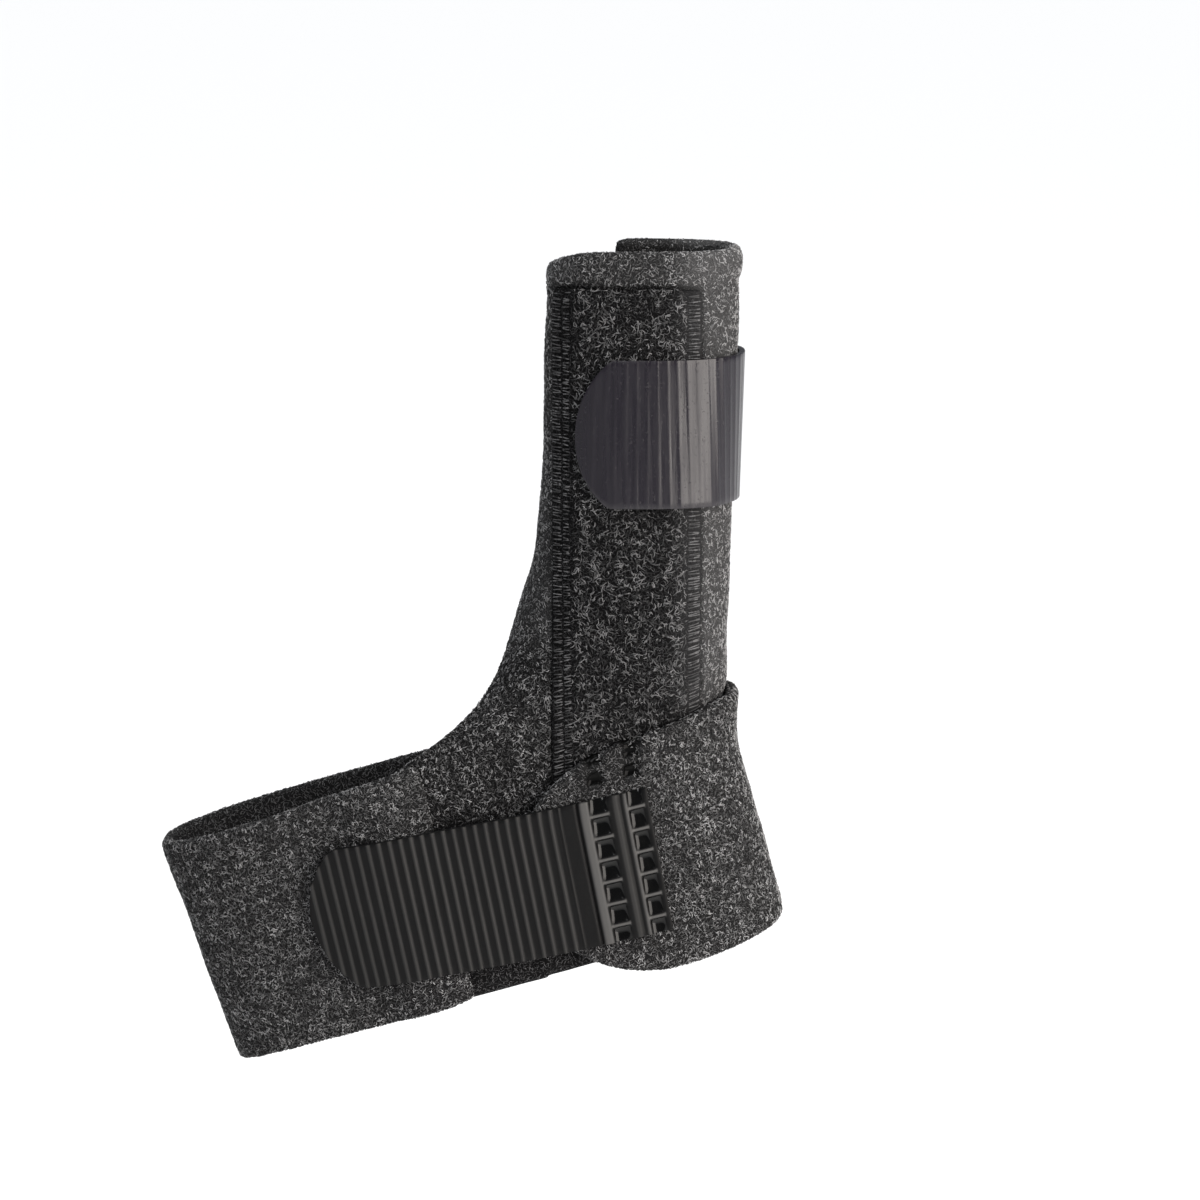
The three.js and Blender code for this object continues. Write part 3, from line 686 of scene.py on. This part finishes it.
def raise_nap(name, carrier, shapes, per_square_mm, seed, finish, wanted):
    """Scatters loop fibres over the wanted faces of a finished cloth, and makes them one mesh."""
    mesh = bmesh.new()
    mesh.from_object(carrier, bpy.context.evaluated_depsgraph_get())
    bare = [face for face in mesh.faces if not wanted(face.calc_center_median() / MM, face.normal)]
    bmesh.ops.delete(mesh, geom=bare, context="FACES")
    piece = bpy.data.objects.new(name, bpy.data.meshes.new(name))
    mesh.to_mesh(piece.data)
    mesh.free()
    bpy.context.scene.collection.objects.link(piece)
    tree = bpy.data.node_groups.new(name, "GeometryNodeTree")
    for way in ("INPUT", "OUTPUT"):
        tree.interface.new_socket("Geometry", in_out=way, socket_type="NodeSocketGeometry")

    def node(kind, settings=None, inputs=None):
        made = tree.nodes.new(kind)
        for key, value in (settings or {}).items():
            setattr(made, key, value)
        for key, value in (inputs or {}).items():
            if isinstance(value, bpy.types.NodeSocket):
                tree.links.new(value, made.inputs[key])
            else:
                made.inputs[key].default_value = value
        return made.outputs

    cloth = node("NodeGroupInput")[0]
    spots = node(
        "GeometryNodeDistributePointsOnFaces", {}, {"Mesh": cloth, "Density": per_square_mm / MM ** 2, "Seed": seed}
    )
    kinds = node(
        "GeometryNodeCollectionInfo", {}, {"Collection": shapes, "Separate Children": True, "Reset Children": True}
    )
    last = len(shapes.objects) - 1
    kind = node("FunctionNodeRandomValue", {"data_type": "INT"}, {4: 0, 5: last, "Seed": seed + 1})[2]
    turn = node("FunctionNodeRandomValue", {"data_type": "FLOAT"}, {2: 0.0, 3: 2 * math.pi, "Seed": seed + 2})[1]
    size = node("FunctionNodeRandomValue", {"data_type": "FLOAT"}, {2: 0.75, 3: 1.3, "Seed": seed + 3})[1]
    spin = node("FunctionNodeAxisAngleToRotation", {}, {"Axis": (0, 0, 1), "Angle": turn})[0]
    pose = node(
        "FunctionNodeRotateRotation",
        {"rotation_space": "LOCAL"},
        {"Rotation": spots["Rotation"], "Rotate By": spin},
    )[0]
    fibres = node(
        "GeometryNodeInstanceOnPoints",
        {},
        {
            "Points": spots["Points"], "Instance": kinds[0], "Pick Instance": True, "Instance Index": kind,
            "Rotation": pose, "Scale": size,
        },
    )[0]
    node("NodeGroupOutput", {}, {0: node("GeometryNodeRealizeInstances", {}, {0: fibres})[0]})
    piece.modifiers.new("fibres", "NODES").node_group = tree
    grown = piece.evaluated_get(bpy.context.evaluated_depsgraph_get())
    piece.data = bpy.data.meshes.new_from_object(grown)
    piece.modifiers.clear()
    piece.data.materials.clear()
    piece.data.materials.append(finish)
    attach(piece, "root")
    return piece


def fibre_finish(name, dark, light, painted_sheen=(0, 0, 0), painted_light_gain=1.0):
    """Dull spun fibres, each a little paler or darker than its neighbours. They are paler to the right by painted
    light of the right-hand lamp, and paler at the sides and the rim by painted sheen.
    """
    fibre = Finish(name, Roughness=0.8, Specular_IOR_Level=0.1)
    where = fibre.node("ShaderNodeTexCoord", output=3)
    cell = fibre.node("ShaderNodeTexVoronoi", {}, {"Vector": where, "Scale": 1 / (0.7 * MM)}, 1)
    tone = fibre.node("ShaderNodeSeparateColor", {}, {0: cell})
    shade = tone ** 1.7 * fibre.noise(where, 0.16 / MM, 3.0).ramp(0.3, 0.7, 0.8, 1.1)
    # Painted light: a gain towards the right, and painted sheen added at the sides and the rim.
    shade = shade * (1 + painted_sheen_share(fibre, where, 0, painted_light_gain - 1, 0)) + painted_sheen_share(fibre, where, *painted_sheen)
    return fibre.surface(fibre.blend(shade, (*dark, 1), (*light, 1)))


def outside(middle, normal):
    """Whether a face of the sleeve looks away from the finger, or lies on an edge."""
    return middle.x * normal.x + middle.y * normal.y > -0.3 * math.hypot(middle.x, middle.y)


def bare_front(middle, normal):
    under_pocket = pocket_left(middle.z) < middle.x < POCKET_RIGHT and middle.z < HEM_SEAM
    return middle.y < 0 and outside(middle, normal) and not under_pocket and middle.z > -16


def bare_back(middle, normal):
    return middle.y >= 0 and (outside(middle, normal) or middle.z > HEM_SEAM)


# Nap of the sleeve: short curled fibres stand out of the brushed cloth, close together in front. At the back they
# are thinner and lie flatter.
short_loops = loop_shapes("short_loops", 0.6, 0.14)
# Its fibres are paled by painted light to the right, and by painted sheen at the sides and the rim.
sleeve_fibre = fibre_finish("sleeve_fibre", (0.014, 0.014, 0.0145), (0.26, 0.26, 0.265), (0.06, 0.16, 0.12), 1.6)
raise_nap("sleeve_nap_front", sleeve, short_loops, 4.2, 11, sleeve_fibre, bare_front)
raise_nap("sleeve_nap_back", sleeve, short_loops, 2.0, 17, sleeve_fibre, bare_back)

# Stay pocket: a thinner panel of the same loop fabric over the front of the sleeve, closed down both long sides
# by a zigzag seam and tucked under the folded rim. The flat stay that lies in it makes it bulge a little.
POCKET_FABRIC = 1.0
POCKET_LIFT = CLEAR + POCKET_FABRIC - POCKET_SINK
POCKET_FOOT = -33
POCKET_TOP = 64.5
SEAM_WIDTH = 2.5
POCKET_COLUMNS = 31
POCKET_ROWS = 84


def pocket_height(x, row):
    """Lift of the pocket's outer face: pressed down by the seams, full over the stay."""
    inside = min(x - pocket_left(row), POCKET_RIGHT - x)
    press = 0.35 * ease(inside, SEAM_WIDTH + 0.6, SEAM_WIDTH - 0.7)
    edge = 0.25 * ease(inside, 0.6, 0)
    return POCKET_LIFT + 0.12 - press - edge - 0.3 * ease(row, 62.5, POCKET_TOP)


def pocket_spot(i, j):
    row = mix(POCKET_FOOT, POCKET_TOP, j / (POCKET_ROWS - 1))
    share = i / (POCKET_COLUMNS - 1)
    share = 0.5 - 0.5 * math.cos(math.pi * share) * (1 - 0.12 * math.sin(math.pi * share))
    x = mix(pocket_left(row), POCKET_RIGHT, share)
    angle = angle_at(x, row)
    place = sleeve_lift(angle, row, 0)
    return sleeve_lift(angle, row, pocket_height(x, row) + wobble(place, 6, 0.15) + wobble(place, 1.8, 0.08))


pocket = cloth_sheet("stay_pocket_panel", POCKET_COLUMNS, POCKET_ROWS, pocket_spot, edge=0.35)
thicken(pocket, POCKET_FABRIC)
# The pocket's cloth gets painted sheen towards its right side.
pocket_cloth = loop_cloth(
    "pocket_loop_cloth", (0.0035, 0.0035, 0.0037), (0.046, 0.046, 0.048), FIBRE_LAYERS, painted_sheen=(0, 0.4, 0)
)
pocket.data.materials.append(pocket_cloth)
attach(pocket, "root")
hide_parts("stay_pocket")


def over_stay(middle, normal):
    """The pocket's outer face clear of its seams, down to where the strap covers it."""
    clear = pocket_left(middle.z) + SEAM_WIDTH + 0.5 < middle.x < POCKET_RIGHT - 2.2
    return normal.y < 0.3 and middle.z > -18 and clear


# Nap of the pocket: its fibres are longer and looser, since nothing rubs there. The seams press it flat.
long_loops = loop_shapes("long_loops", 1.05, 0.15)
# Its fibres are paled towards the right by painted light and painted sheen.
pocket_fibre = fibre_finish("pocket_fibre", (0.01, 0.01, 0.0105), (0.175, 0.175, 0.179), (0, 0.14, 0), 1.6)
raise_nap("pocket_nap", pocket, long_loops, 3.6, 23, pocket_fibre, over_stay)

# Seams of the pocket: thin dark thread runs to and fro over each long edge, twice at the left and once at the right.
THREAD = 0.21
STROKE_PITCH = 0.5
# The thread is paled towards the right by painted sheen.
thread_finish = fibre_finish("seam_thread", (0.02, 0.02, 0.021), (0.12, 0.12, 0.123), (0, 0.22, 0))


def overcast_seam(name, inset, width, stop_at):
    """Sewing thread laid to and fro across a seam in short level strokes, as one thin tube."""
    line = bpy.data.curves.new(name, "CURVE")
    line.dimensions = "3D"
    line.bevel_depth = THREAD / 2 * MM
    line.bevel_resolution = 0
    line.use_fill_caps = True
    count = int((POCKET_TOP - 0.6 - stop_at) / STROKE_PITCH)
    thread = line.splines.new("POLY")
    thread.points.add(5 * count - 1)
    for stroke in range(count):
        row = POCKET_TOP - 0.6 - stroke * STROKE_PITCH
        left = (pocket_left(row) if inset > 0 else POCKET_RIGHT) + inset
        right = left + width * (1 + 0.25 * noise.noise(Vector((inset, 2, 0.9 * stroke))))
        jitter = 0.45 * noise.noise(Vector((0, 3.1 * inset, 1.7 * stroke)))
        for k, share in enumerate((0.0, 0.12, 0.5, 0.88, 1.0)):
            x = mix(left, right, share if stroke % 2 else 1 - share)
            sink = -0.16 if k in (0, 4) else 0.1
            at = row + jitter - 0.3 * share * STROKE_PITCH
            place = sleeve_lift(angle_at(x, at), at, pocket_height(x, at) + sink)
            thread.points[5 * stroke + k].co = (*(place * MM), 1)
    drawn = bpy.data.objects.new(name, line)
    bpy.context.scene.collection.objects.link(drawn)
    made = bpy.data.meshes.new_from_object(drawn.evaluated_get(bpy.context.evaluated_depsgraph_get()))
    bpy.data.objects.remove(drawn)
    piece = bpy.data.objects.new(name, made)
    bpy.context.scene.collection.objects.link(piece)
    piece.data.materials.clear()
    piece.data.materials.append(thread_finish)
    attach(piece, "root")


overcast_seam("left_seam_outer", 0.2, 1.4, -12)
overcast_seam("left_seam_inner", 1.8, 1.1, -12)
overcast_seam("right_seam", -2.1, 1.9, -5)

# Hand strap: a wider band of the same fabric, a little greyer. It is sewn to the palm's left edge, goes round the
# back of the hand and comes back over the sleeve, where its end is cut round.
AROUND = -RING_LENGTH
RING_BACK = RING_MIDDLE - RING_LENGTH / 2
TONGUE_TIP = AROUND + 8.2
TONGUE_LENGTH = 18.3
# Rows of the strap's table: length round the oval, lift off it, thickness, top edge and bottom edge.
strap_table = [
    (TONGUE_TIP, 3.1, 2.0, 16.4, -17.7),
    (AROUND + 20, 3.1, 2.0, 16.4, -17.8),
    (AROUND + 27, 3.1, 2.0, 16.4, -18.0),
    (AROUND + 34, 3.4, 2.0, 16.8, -17.9),
    (AROUND + 39, 3.3, 2.0, 17.1, -17.6),
    (AROUND + RING_RIGHT, 2.7, 2.0, 16.8, -17.1),
    (AROUND + RING_RIGHT + 5, 3.1, 2.0, 16.8, -16.9),
    (AROUND + RING_RIGHT + 9, 3.0, 2.0, 16.8, -17.0),
    (AROUND + RING_RIGHT + 16, 1.2, 2.0, 17.0, -17.2),
    (AROUND + RING_RIGHT + 22, 0.2, 2.0, 17.2, -17.2),
    (RING_BACK, 0.2, 2.0, 17.4, -17.3),
    (RING_LEFT, 0.2, 2.0, 17.7, -17.3),
    (-38, 0.2, 2.0, 18.2, -16.0),
    (-24, 0.2, 2.0, 19.3, -15.2),
    (-18.5, 0.3, 2.0, 20.0, -15.1),
    (-13.5, 2.0, 2.0, 20.5, -14.9),
    (-11, 2.5, 2.0, 20.7, -14.8),
    (-7.5, 2.5, 1.9, 21.0, -14.6),
    (-4.6, 2.5, 1.3, 21.3, -14.4),
]
STRAP_FABRIC = 2.0
strap_lift = steps([(row[0], row[1]) for row in strap_table])
strap_thickness = steps([(row[0], row[2]) for row in strap_table])
strap_top = curve([(row[0], row[3]) for row in strap_table])
strap_bottom = curve([(row[0], row[4]) for row in strap_table])
strap_stops = [TONGUE_TIP + step for step in (0.12, 0.45, 0.9, 1.5, 2.3, 3.3, 4.4, 5.7, 7.1, 8.6, 10.2)]
for stop, count in ((AROUND + 28.5, 24), (AROUND + RING_RIGHT - 8, 4), (AROUND + RING_RIGHT + 20, 22),
                    (RING_LEFT - 12, 26), (RING_LEFT + 12, 20), (-19, 20), (-9, 10), (-4.6, 7)):
    last = strap_stops[-1]
    strap_stops += [mix(last, stop, (k + 1) / count) for k in range(count)]
STRAP_SHARES = [0, 0.012, 0.035] + [mix(0.07, 0.79, k / 18) for k in range(19)]
STRAP_SHARES += [mix(0.8, 0.99, k / 13) for k in range(14)] + [1]
TAB_WIDTH = 22.2
TAB_END_RADIUS = 14.2
PALM_TAB_LENGTH = 52.1
PALM_TAB_TURN = math.radians(-4.2)
PALM_TAB_TIP_U = -24.9
PALM_TAB_TIP_T = 2.5
# Each row of welds: its place along the tab and half the width of its pits.
WELD_ROWS = ((45.15, 1.4), (50.35, 1.2))
WELD_PITCH = 3.44
PIT_HALF_HEIGHT = 1.55


def bump_between(value, start, end, soft):
    return ease(value, start - soft, start + soft) * ease(value, end + soft, end - soft)


def tab_frame(u, t):
    """Length along the palm tab and distance across it, of a place on the strap's oval."""
    right = u - PALM_TAB_TIP_U
    up = t - PALM_TAB_TIP_T
    along = right * math.cos(PALM_TAB_TURN) + up * math.sin(PALM_TAB_TURN)
    return along, up * math.cos(PALM_TAB_TURN) - right * math.sin(PALM_TAB_TURN)


def weld_dent(u, t, margin=0.0):
    """1 in the two square dents that each row of welds leaves in the strap above the tab."""
    along, across = tab_frame(u - AROUND, t)
    half = 1.15 + margin
    dent = 0
    for row, _ in WELD_ROWS:
        for middle in (13.9, 16.9):
            wide = bump_between(along, row - half, row + half, 0.3)
            dent = max(dent, wide * bump_between(across, middle - half, middle + half, 0.3))
    return dent


def strap_grid(i, j):
    u = strap_stops[i]
    into = max(0, (TONGUE_TIP + TONGUE_LENGTH - u) / TONGUE_LENGTH)
    return u, mix(strap_bottom(u), strap_top(u), STRAP_SHARES[j]) * math.sqrt(1 - into * into)


def strap_spot(i, j):
    u, t = strap_grid(i, j)
    slant = 0.042 * t * ease(u, -14, -4.6)
    place = ring_place(u, t, 0)
    ragged = 0.35 * noise.noise(Vector((0, 0, t * 1.3))) * ease(u, -8, -4.6)
    lift = strap_lift(u) + strap_thickness(u) + wobble(place, 8, 0.25) + wobble(place, 2.1, 0.1)
    return ring_place(u + slant + ragged, t, lift - weld_dent(u, t))


def strap_wear(i, j):
    return weld_dent(*strap_grid(i, j))


strap = cloth_sheet(
    "hand_strap_band", len(strap_stops), len(STRAP_SHARES), strap_spot, edge=0.4 * STRAP_FABRIC, melt_and_highlight=strap_wear
)
thicken(strap, STRAP_FABRIC)
strap_cloth = loop_cloth("strap_loop_cloth", (0.009, 0.009, 0.0093), (0.14, 0.14, 0.143), FIBRE_LAYERS, gloss=0.12)
strap.data.materials.append(strap_cloth)
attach(strap, "root")
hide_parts("hand_strap")
RING_RIGHTWARDS = Vector((math.cos(LEAN), 0, math.sin(LEAN)))
RING_UPWARDS = Vector((-math.sin(LEAN), 0, math.cos(LEAN)))


def tab_half_width(distance):
    if distance >= TAB_END_RADIUS:
        return TAB_WIDTH / 2
    return min(TAB_WIDTH / 2, math.sqrt(TAB_END_RADIUS ** 2 - (TAB_END_RADIUS - distance) ** 2))


def strap_outside(middle, normal):
    """Whether a face of the strap looks away from the hand, or lies on an edge."""
    across = 0.1 * (middle - RING_CENTRE).dot(RING_RIGHTWARDS)
    facing = across * normal.dot(RING_RIGHTWARDS) + middle.y * normal.y
    return facing > -0.3 * math.hypot(across, middle.y)


def strap_front(middle, normal):
    """The strap's outer face in front, where neither the tab nor a dent flattens its nap."""
    place = middle - RING_CENTRE
    u, t = ring_length_at(place.dot(RING_RIGHTWARDS)), place.dot(RING_UPWARDS)
    along, across = tab_frame(u, t)
    under_tab = 1 < along < PALM_TAB_LENGTH - 0.6 and abs(across) < tab_half_width(along) - 0.7
    dented = weld_dent(u + AROUND, t, 0.6) > 0.2
    return middle.y < 0 and strap_outside(middle, normal) and not under_tab and not dented


def strap_back(middle, normal):
    return middle.y >= 0 and strap_outside(middle, normal)


# Nap of the strap: fine short fibres on its outer face, worn away where the tab and the welds press on it.
fine_loops = loop_shapes("fine_loops", 0.5, 0.13)
# Its fibres are paled towards the right by painted light.
strap_fibre = fibre_finish("strap_fibre", (0.022, 0.022, 0.0225), (0.3, 0.3, 0.305), painted_light_gain=1.3)
raise_nap("strap_nap_front", strap, fine_loops, 4.8, 31, strap_fibre, strap_front)
raise_nap("strap_nap_back", strap, fine_loops, 2.0, 37, strap_fibre, strap_back)

# Palm hook tab: a stiff strip of black plastic with fine cross ribs, cut round at one end. It is welded to the
# strap's round end with two rows of square pits.
TAB_SHEET = 0.85
PALM_RIB_HEIGHT = 0.26
RIB_PITCH = 1.6
PALM_TAB_RIBS = 38.5


def rib_height(along, rib_end, height):
    """Rounded ribs from the first one near the round end."""
    if not 0.8 < along < rib_end + 1:
        return 0
    part = ((along - 0.8) % RIB_PITCH) / RIB_PITCH
    return height * ease(part, 0, 0.25) * ease(part, 0.57, 0.32)


def tab_stops(length, rib_end, pitch):
    """Lengths along a tab at which it has a row of vertices: close at the ribs, then at an even pitch."""
    stops = [0.02, 0.06, 0.14, 0.26, 0.42, 0.6]
    at = 0.8
    while at < rib_end:
        stops += [at + RIB_PITCH * share for share in (0, 0.08, 0.17, 0.26, 0.34, 0.43, 0.5, 0.58)]
        at += RIB_PITCH
    count = max(2, round((length - stops[-1]) / pitch))
    last = stops[-1]
    return stops + [mix(last, length, (k + 1) / count) for k in range(count)]


def palm_tab_place(along, across, lift):
    u = PALM_TAB_TIP_U + along * math.cos(PALM_TAB_TURN) - across * math.sin(PALM_TAB_TURN)
    t = PALM_TAB_TIP_T + along * math.sin(PALM_TAB_TURN) + across * math.cos(PALM_TAB_TURN)
    return ring_place(u, t, palm_tab_lift(u) + lift)


def weld_pit(along, across):
    """The nearest pit of the welds: how deep the place lies in it, up to 1, and how high it is in the pit."""
    above = across - WELD_PITCH * clamp(round(across / WELD_PITCH), -3, 3)
    inside = max(1 - abs((along - row) / half) ** 5 for row, half in WELD_ROWS)
    return max(0, inside) * max(0, 1 - abs(above / PIT_HALF_HEIGHT) ** 5), above


def tab_lips(along):
    """The ridges the weld has pushed up beside its rows."""
    lips = 0
    for start, end, size in ((42.4, 43.65, 1), (47.1, 47.9, 0.45), (48.65, 49.15, 1)):
        lips = max(lips, size * bump_between(along, start, end, 0.2))
    return lips


# The tab bends over the strap's end: lift of its inner face off the oval, by length from the oval's middle.
palm_tab_lift = curve([(-25, 2.5), (-20.5, 3.15), (-14.5, 4.3), (-11, 4.8), (-2.5, 4.8), (8.5, 5.4)])


def palm_tab_spot(i, j):
    along = palm_stops[i]
    across = palm_rows[j] * tab_half_width(along)
    pit, above = weld_pit(along, across)
    height = rib_height(along, PALM_TAB_RIBS, PALM_RIB_HEIGHT) + 0.3 * tab_lips(along)
    height -= 0.3 * (bump_between(along, 41.85, 42.15, 0.15) + bump_between(along, 48.2, 48.35, 0.15))
    return palm_tab_place(along, across, TAB_SHEET + height - pit * (0.55 + 0.26 * above))


def palm_tab_melt_and_highlight(i, j):
    """Melted in the pits; a painted highlight on the ribs, on the lips and on the ridges between the pits."""
    along = palm_stops[i]
    across = palm_rows[j] * tab_half_width(along)
    pit, above = weld_pit(along, across)
    between = max(bump_between(along, row - half, row + half, 0.1) for row, half in WELD_ROWS)
    ridge = between * ease(abs(above), 1.4, 1.65)
    rib = 0.38 * rib_height(along, PALM_TAB_RIBS, 1)
    return ease(pit, 0.3, 0.7) or -max(ridge, rib, 0.8 * tab_lips(along))


palm_stops = tab_stops(PALM_TAB_LENGTH, PALM_TAB_RIBS, 0.22)
palm_rows = [-1, 1]
for middle in range(-3, 4):
    for share in (-1.72, -1.55, -1.25, -0.75, 0, 0.75, 1.25, 1.55):
        place = (WELD_PITCH * middle + share) / (TAB_WIDTH / 2)
        if abs(place) < 0.995:
            palm_rows.append(place)
palm_rows.sort()
palm_tab = cloth_sheet("palm_hook_strip", len(palm_stops), len(palm_rows), palm_tab_spot, melt_and_highlight=palm_tab_melt_and_highlight)
thicken(palm_tab, TAB_SHEET, levels=0, bevel=0.12)


def tab_plastic(name, colour, roughness, shine, streaks, depth):
    """Moulded plastic with faint drawn streaks across the strip and small scuffs. It is black where a weld has
    melted it, and paled by a painted highlight on the ribs, lips and ridges.
    """
    plastic = Finish(name, Specular_IOR_Level=shine, Coat_Roughness=0.06)
    where = plastic.node("ShaderNodeTexCoord", output=3)
    melt_and_highlight = plastic.node("ShaderNodeAttribute", {"attribute_name": "melt_and_highlight"}, output=2)
    melted = melt_and_highlight.ramp(0.0, 1.0)
    plastic.feed(plastic.shader.inputs["Coat Weight"], 0.3 * melted)
    stretched = plastic.vector("MULTIPLY", where, streaks)
    drawn = plastic.noise(stretched, 1.0, 3.0)
    scuffs = plastic.noise(where, 2200, 2.0).ramp(0.62, 0.72)
    gloss = drawn.ramp(0.3, 0.7, roughness - 0.06, roughness + 0.08) + 0.12 * scuffs
    gloss = gloss * (1 - 0.6 * melted)
    tint = plastic.blend(melted, (*colour, 1), MELTED_BLACK)
    # Painted highlight: the ribs, lips and ridges are paled as if they caught the lamps.
    tint = plastic.blend(melt_and_highlight.ramp(0.0, -1.0), tint, (0.065, 0.064, 0.063, 1))
    return plastic.surface(tint, gloss, (drawn + 0.3 * scuffs) * (1 - melted), depth)


palm_plastic = tab_plastic("palm_tab_plastic", (0.003, 0.003, 0.0032), 0.36, 0.1, (900, 900, 120), 0.02)
palm_tab.data.materials.append(palm_plastic)
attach(palm_tab, "root")
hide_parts("palm_hook_tab")

# Finger hook tab: the same ribbed strip, shorter and glossier. It comes from the wing at the back, round the right
# side, and ends round on the front of the sleeve.
FINGER_TAB_MIDDLE = 43.3
FINGER_TAB_START = math.radians(-39)
FINGER_TAB_END = math.radians(213)
FINGER_TAB_RIBS = 38.5
FINGER_RIB_HEIGHT = 0.045


def finger_tab_base(angle):
    on_wing = ease(angle, math.radians(116), math.radians(137))
    on_pocket = ease(angle, math.radians(60), math.radians(36))
    return CLEAR + on_wing * wing_lift(angle - 2 * math.pi) + on_pocket * POCKET_LIFT


def finger_tab_on(angle, z, lift):
    place = tube_place(angle, z) if angle > math.pi / 2 else sleeve_place(angle, z)
    side, depth = tube_size(angle, z)
    power = SLEEVE_SQUARENESS - 1
    across = math.copysign((abs(place.x) / side) ** power / side, place.x)
    back = math.copysign((abs(place.y) / depth) ** power / depth, place.y)
    return place + Vector((across, back, 0)).normalized() * (finger_tab_base(angle) + lift)


finger_angles = [FINGER_TAB_START]
finger_lengths = [0.0]
while finger_angles[-1] < FINGER_TAB_END:
    ahead = finger_angles[-1] + math.radians(0.5)
    pace = finger_tab_on(ahead, FINGER_TAB_MIDDLE, 0.4) - finger_tab_on(finger_angles[-1], FINGER_TAB_MIDDLE, 0.4)
    finger_angles.append(ahead)
    finger_lengths.append(finger_lengths[-1] + pace.length)


def finger_angle(length):
    k = int(clamp(bisect.bisect_right(finger_lengths, length), 1, len(finger_lengths) - 1)) - 1
    f = (length - finger_lengths[k]) / (finger_lengths[k + 1] - finger_lengths[k])
    return mix(finger_angles[k], finger_angles[k + 1], f)


finger_stops = tab_stops(finger_lengths[-1] - 0.01, FINGER_TAB_RIBS, 0.6)
FINGER_TAB_ROWS = 25


def finger_tab_spot(i, j):
    along = finger_stops[i]
    across = mix(-1, 1, j / (FINGER_TAB_ROWS - 1)) * tab_half_width(along)
    lift = TAB_SHEET + rib_height(along, FINGER_TAB_RIBS, FINGER_RIB_HEIGHT)
    return finger_tab_on(finger_angle(along), FINGER_TAB_MIDDLE + across, lift)


finger_tab = cloth_sheet("finger_hook_strip", len(finger_stops), FINGER_TAB_ROWS, finger_tab_spot)
thicken(finger_tab, TAB_SHEET, levels=0, bevel=0.12)
# The purple tint of its black is a painted reflection of the bluish surroundings.
finger_plastic = tab_plastic("finger_tab_plastic", (0.004, 0.0025, 0.006), 0.28, 0.42, (1500, 1500, 12), 0.04)
finger_tab.data.materials.append(finger_plastic)
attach(finger_tab, "root")
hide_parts("finger_hook_tab")
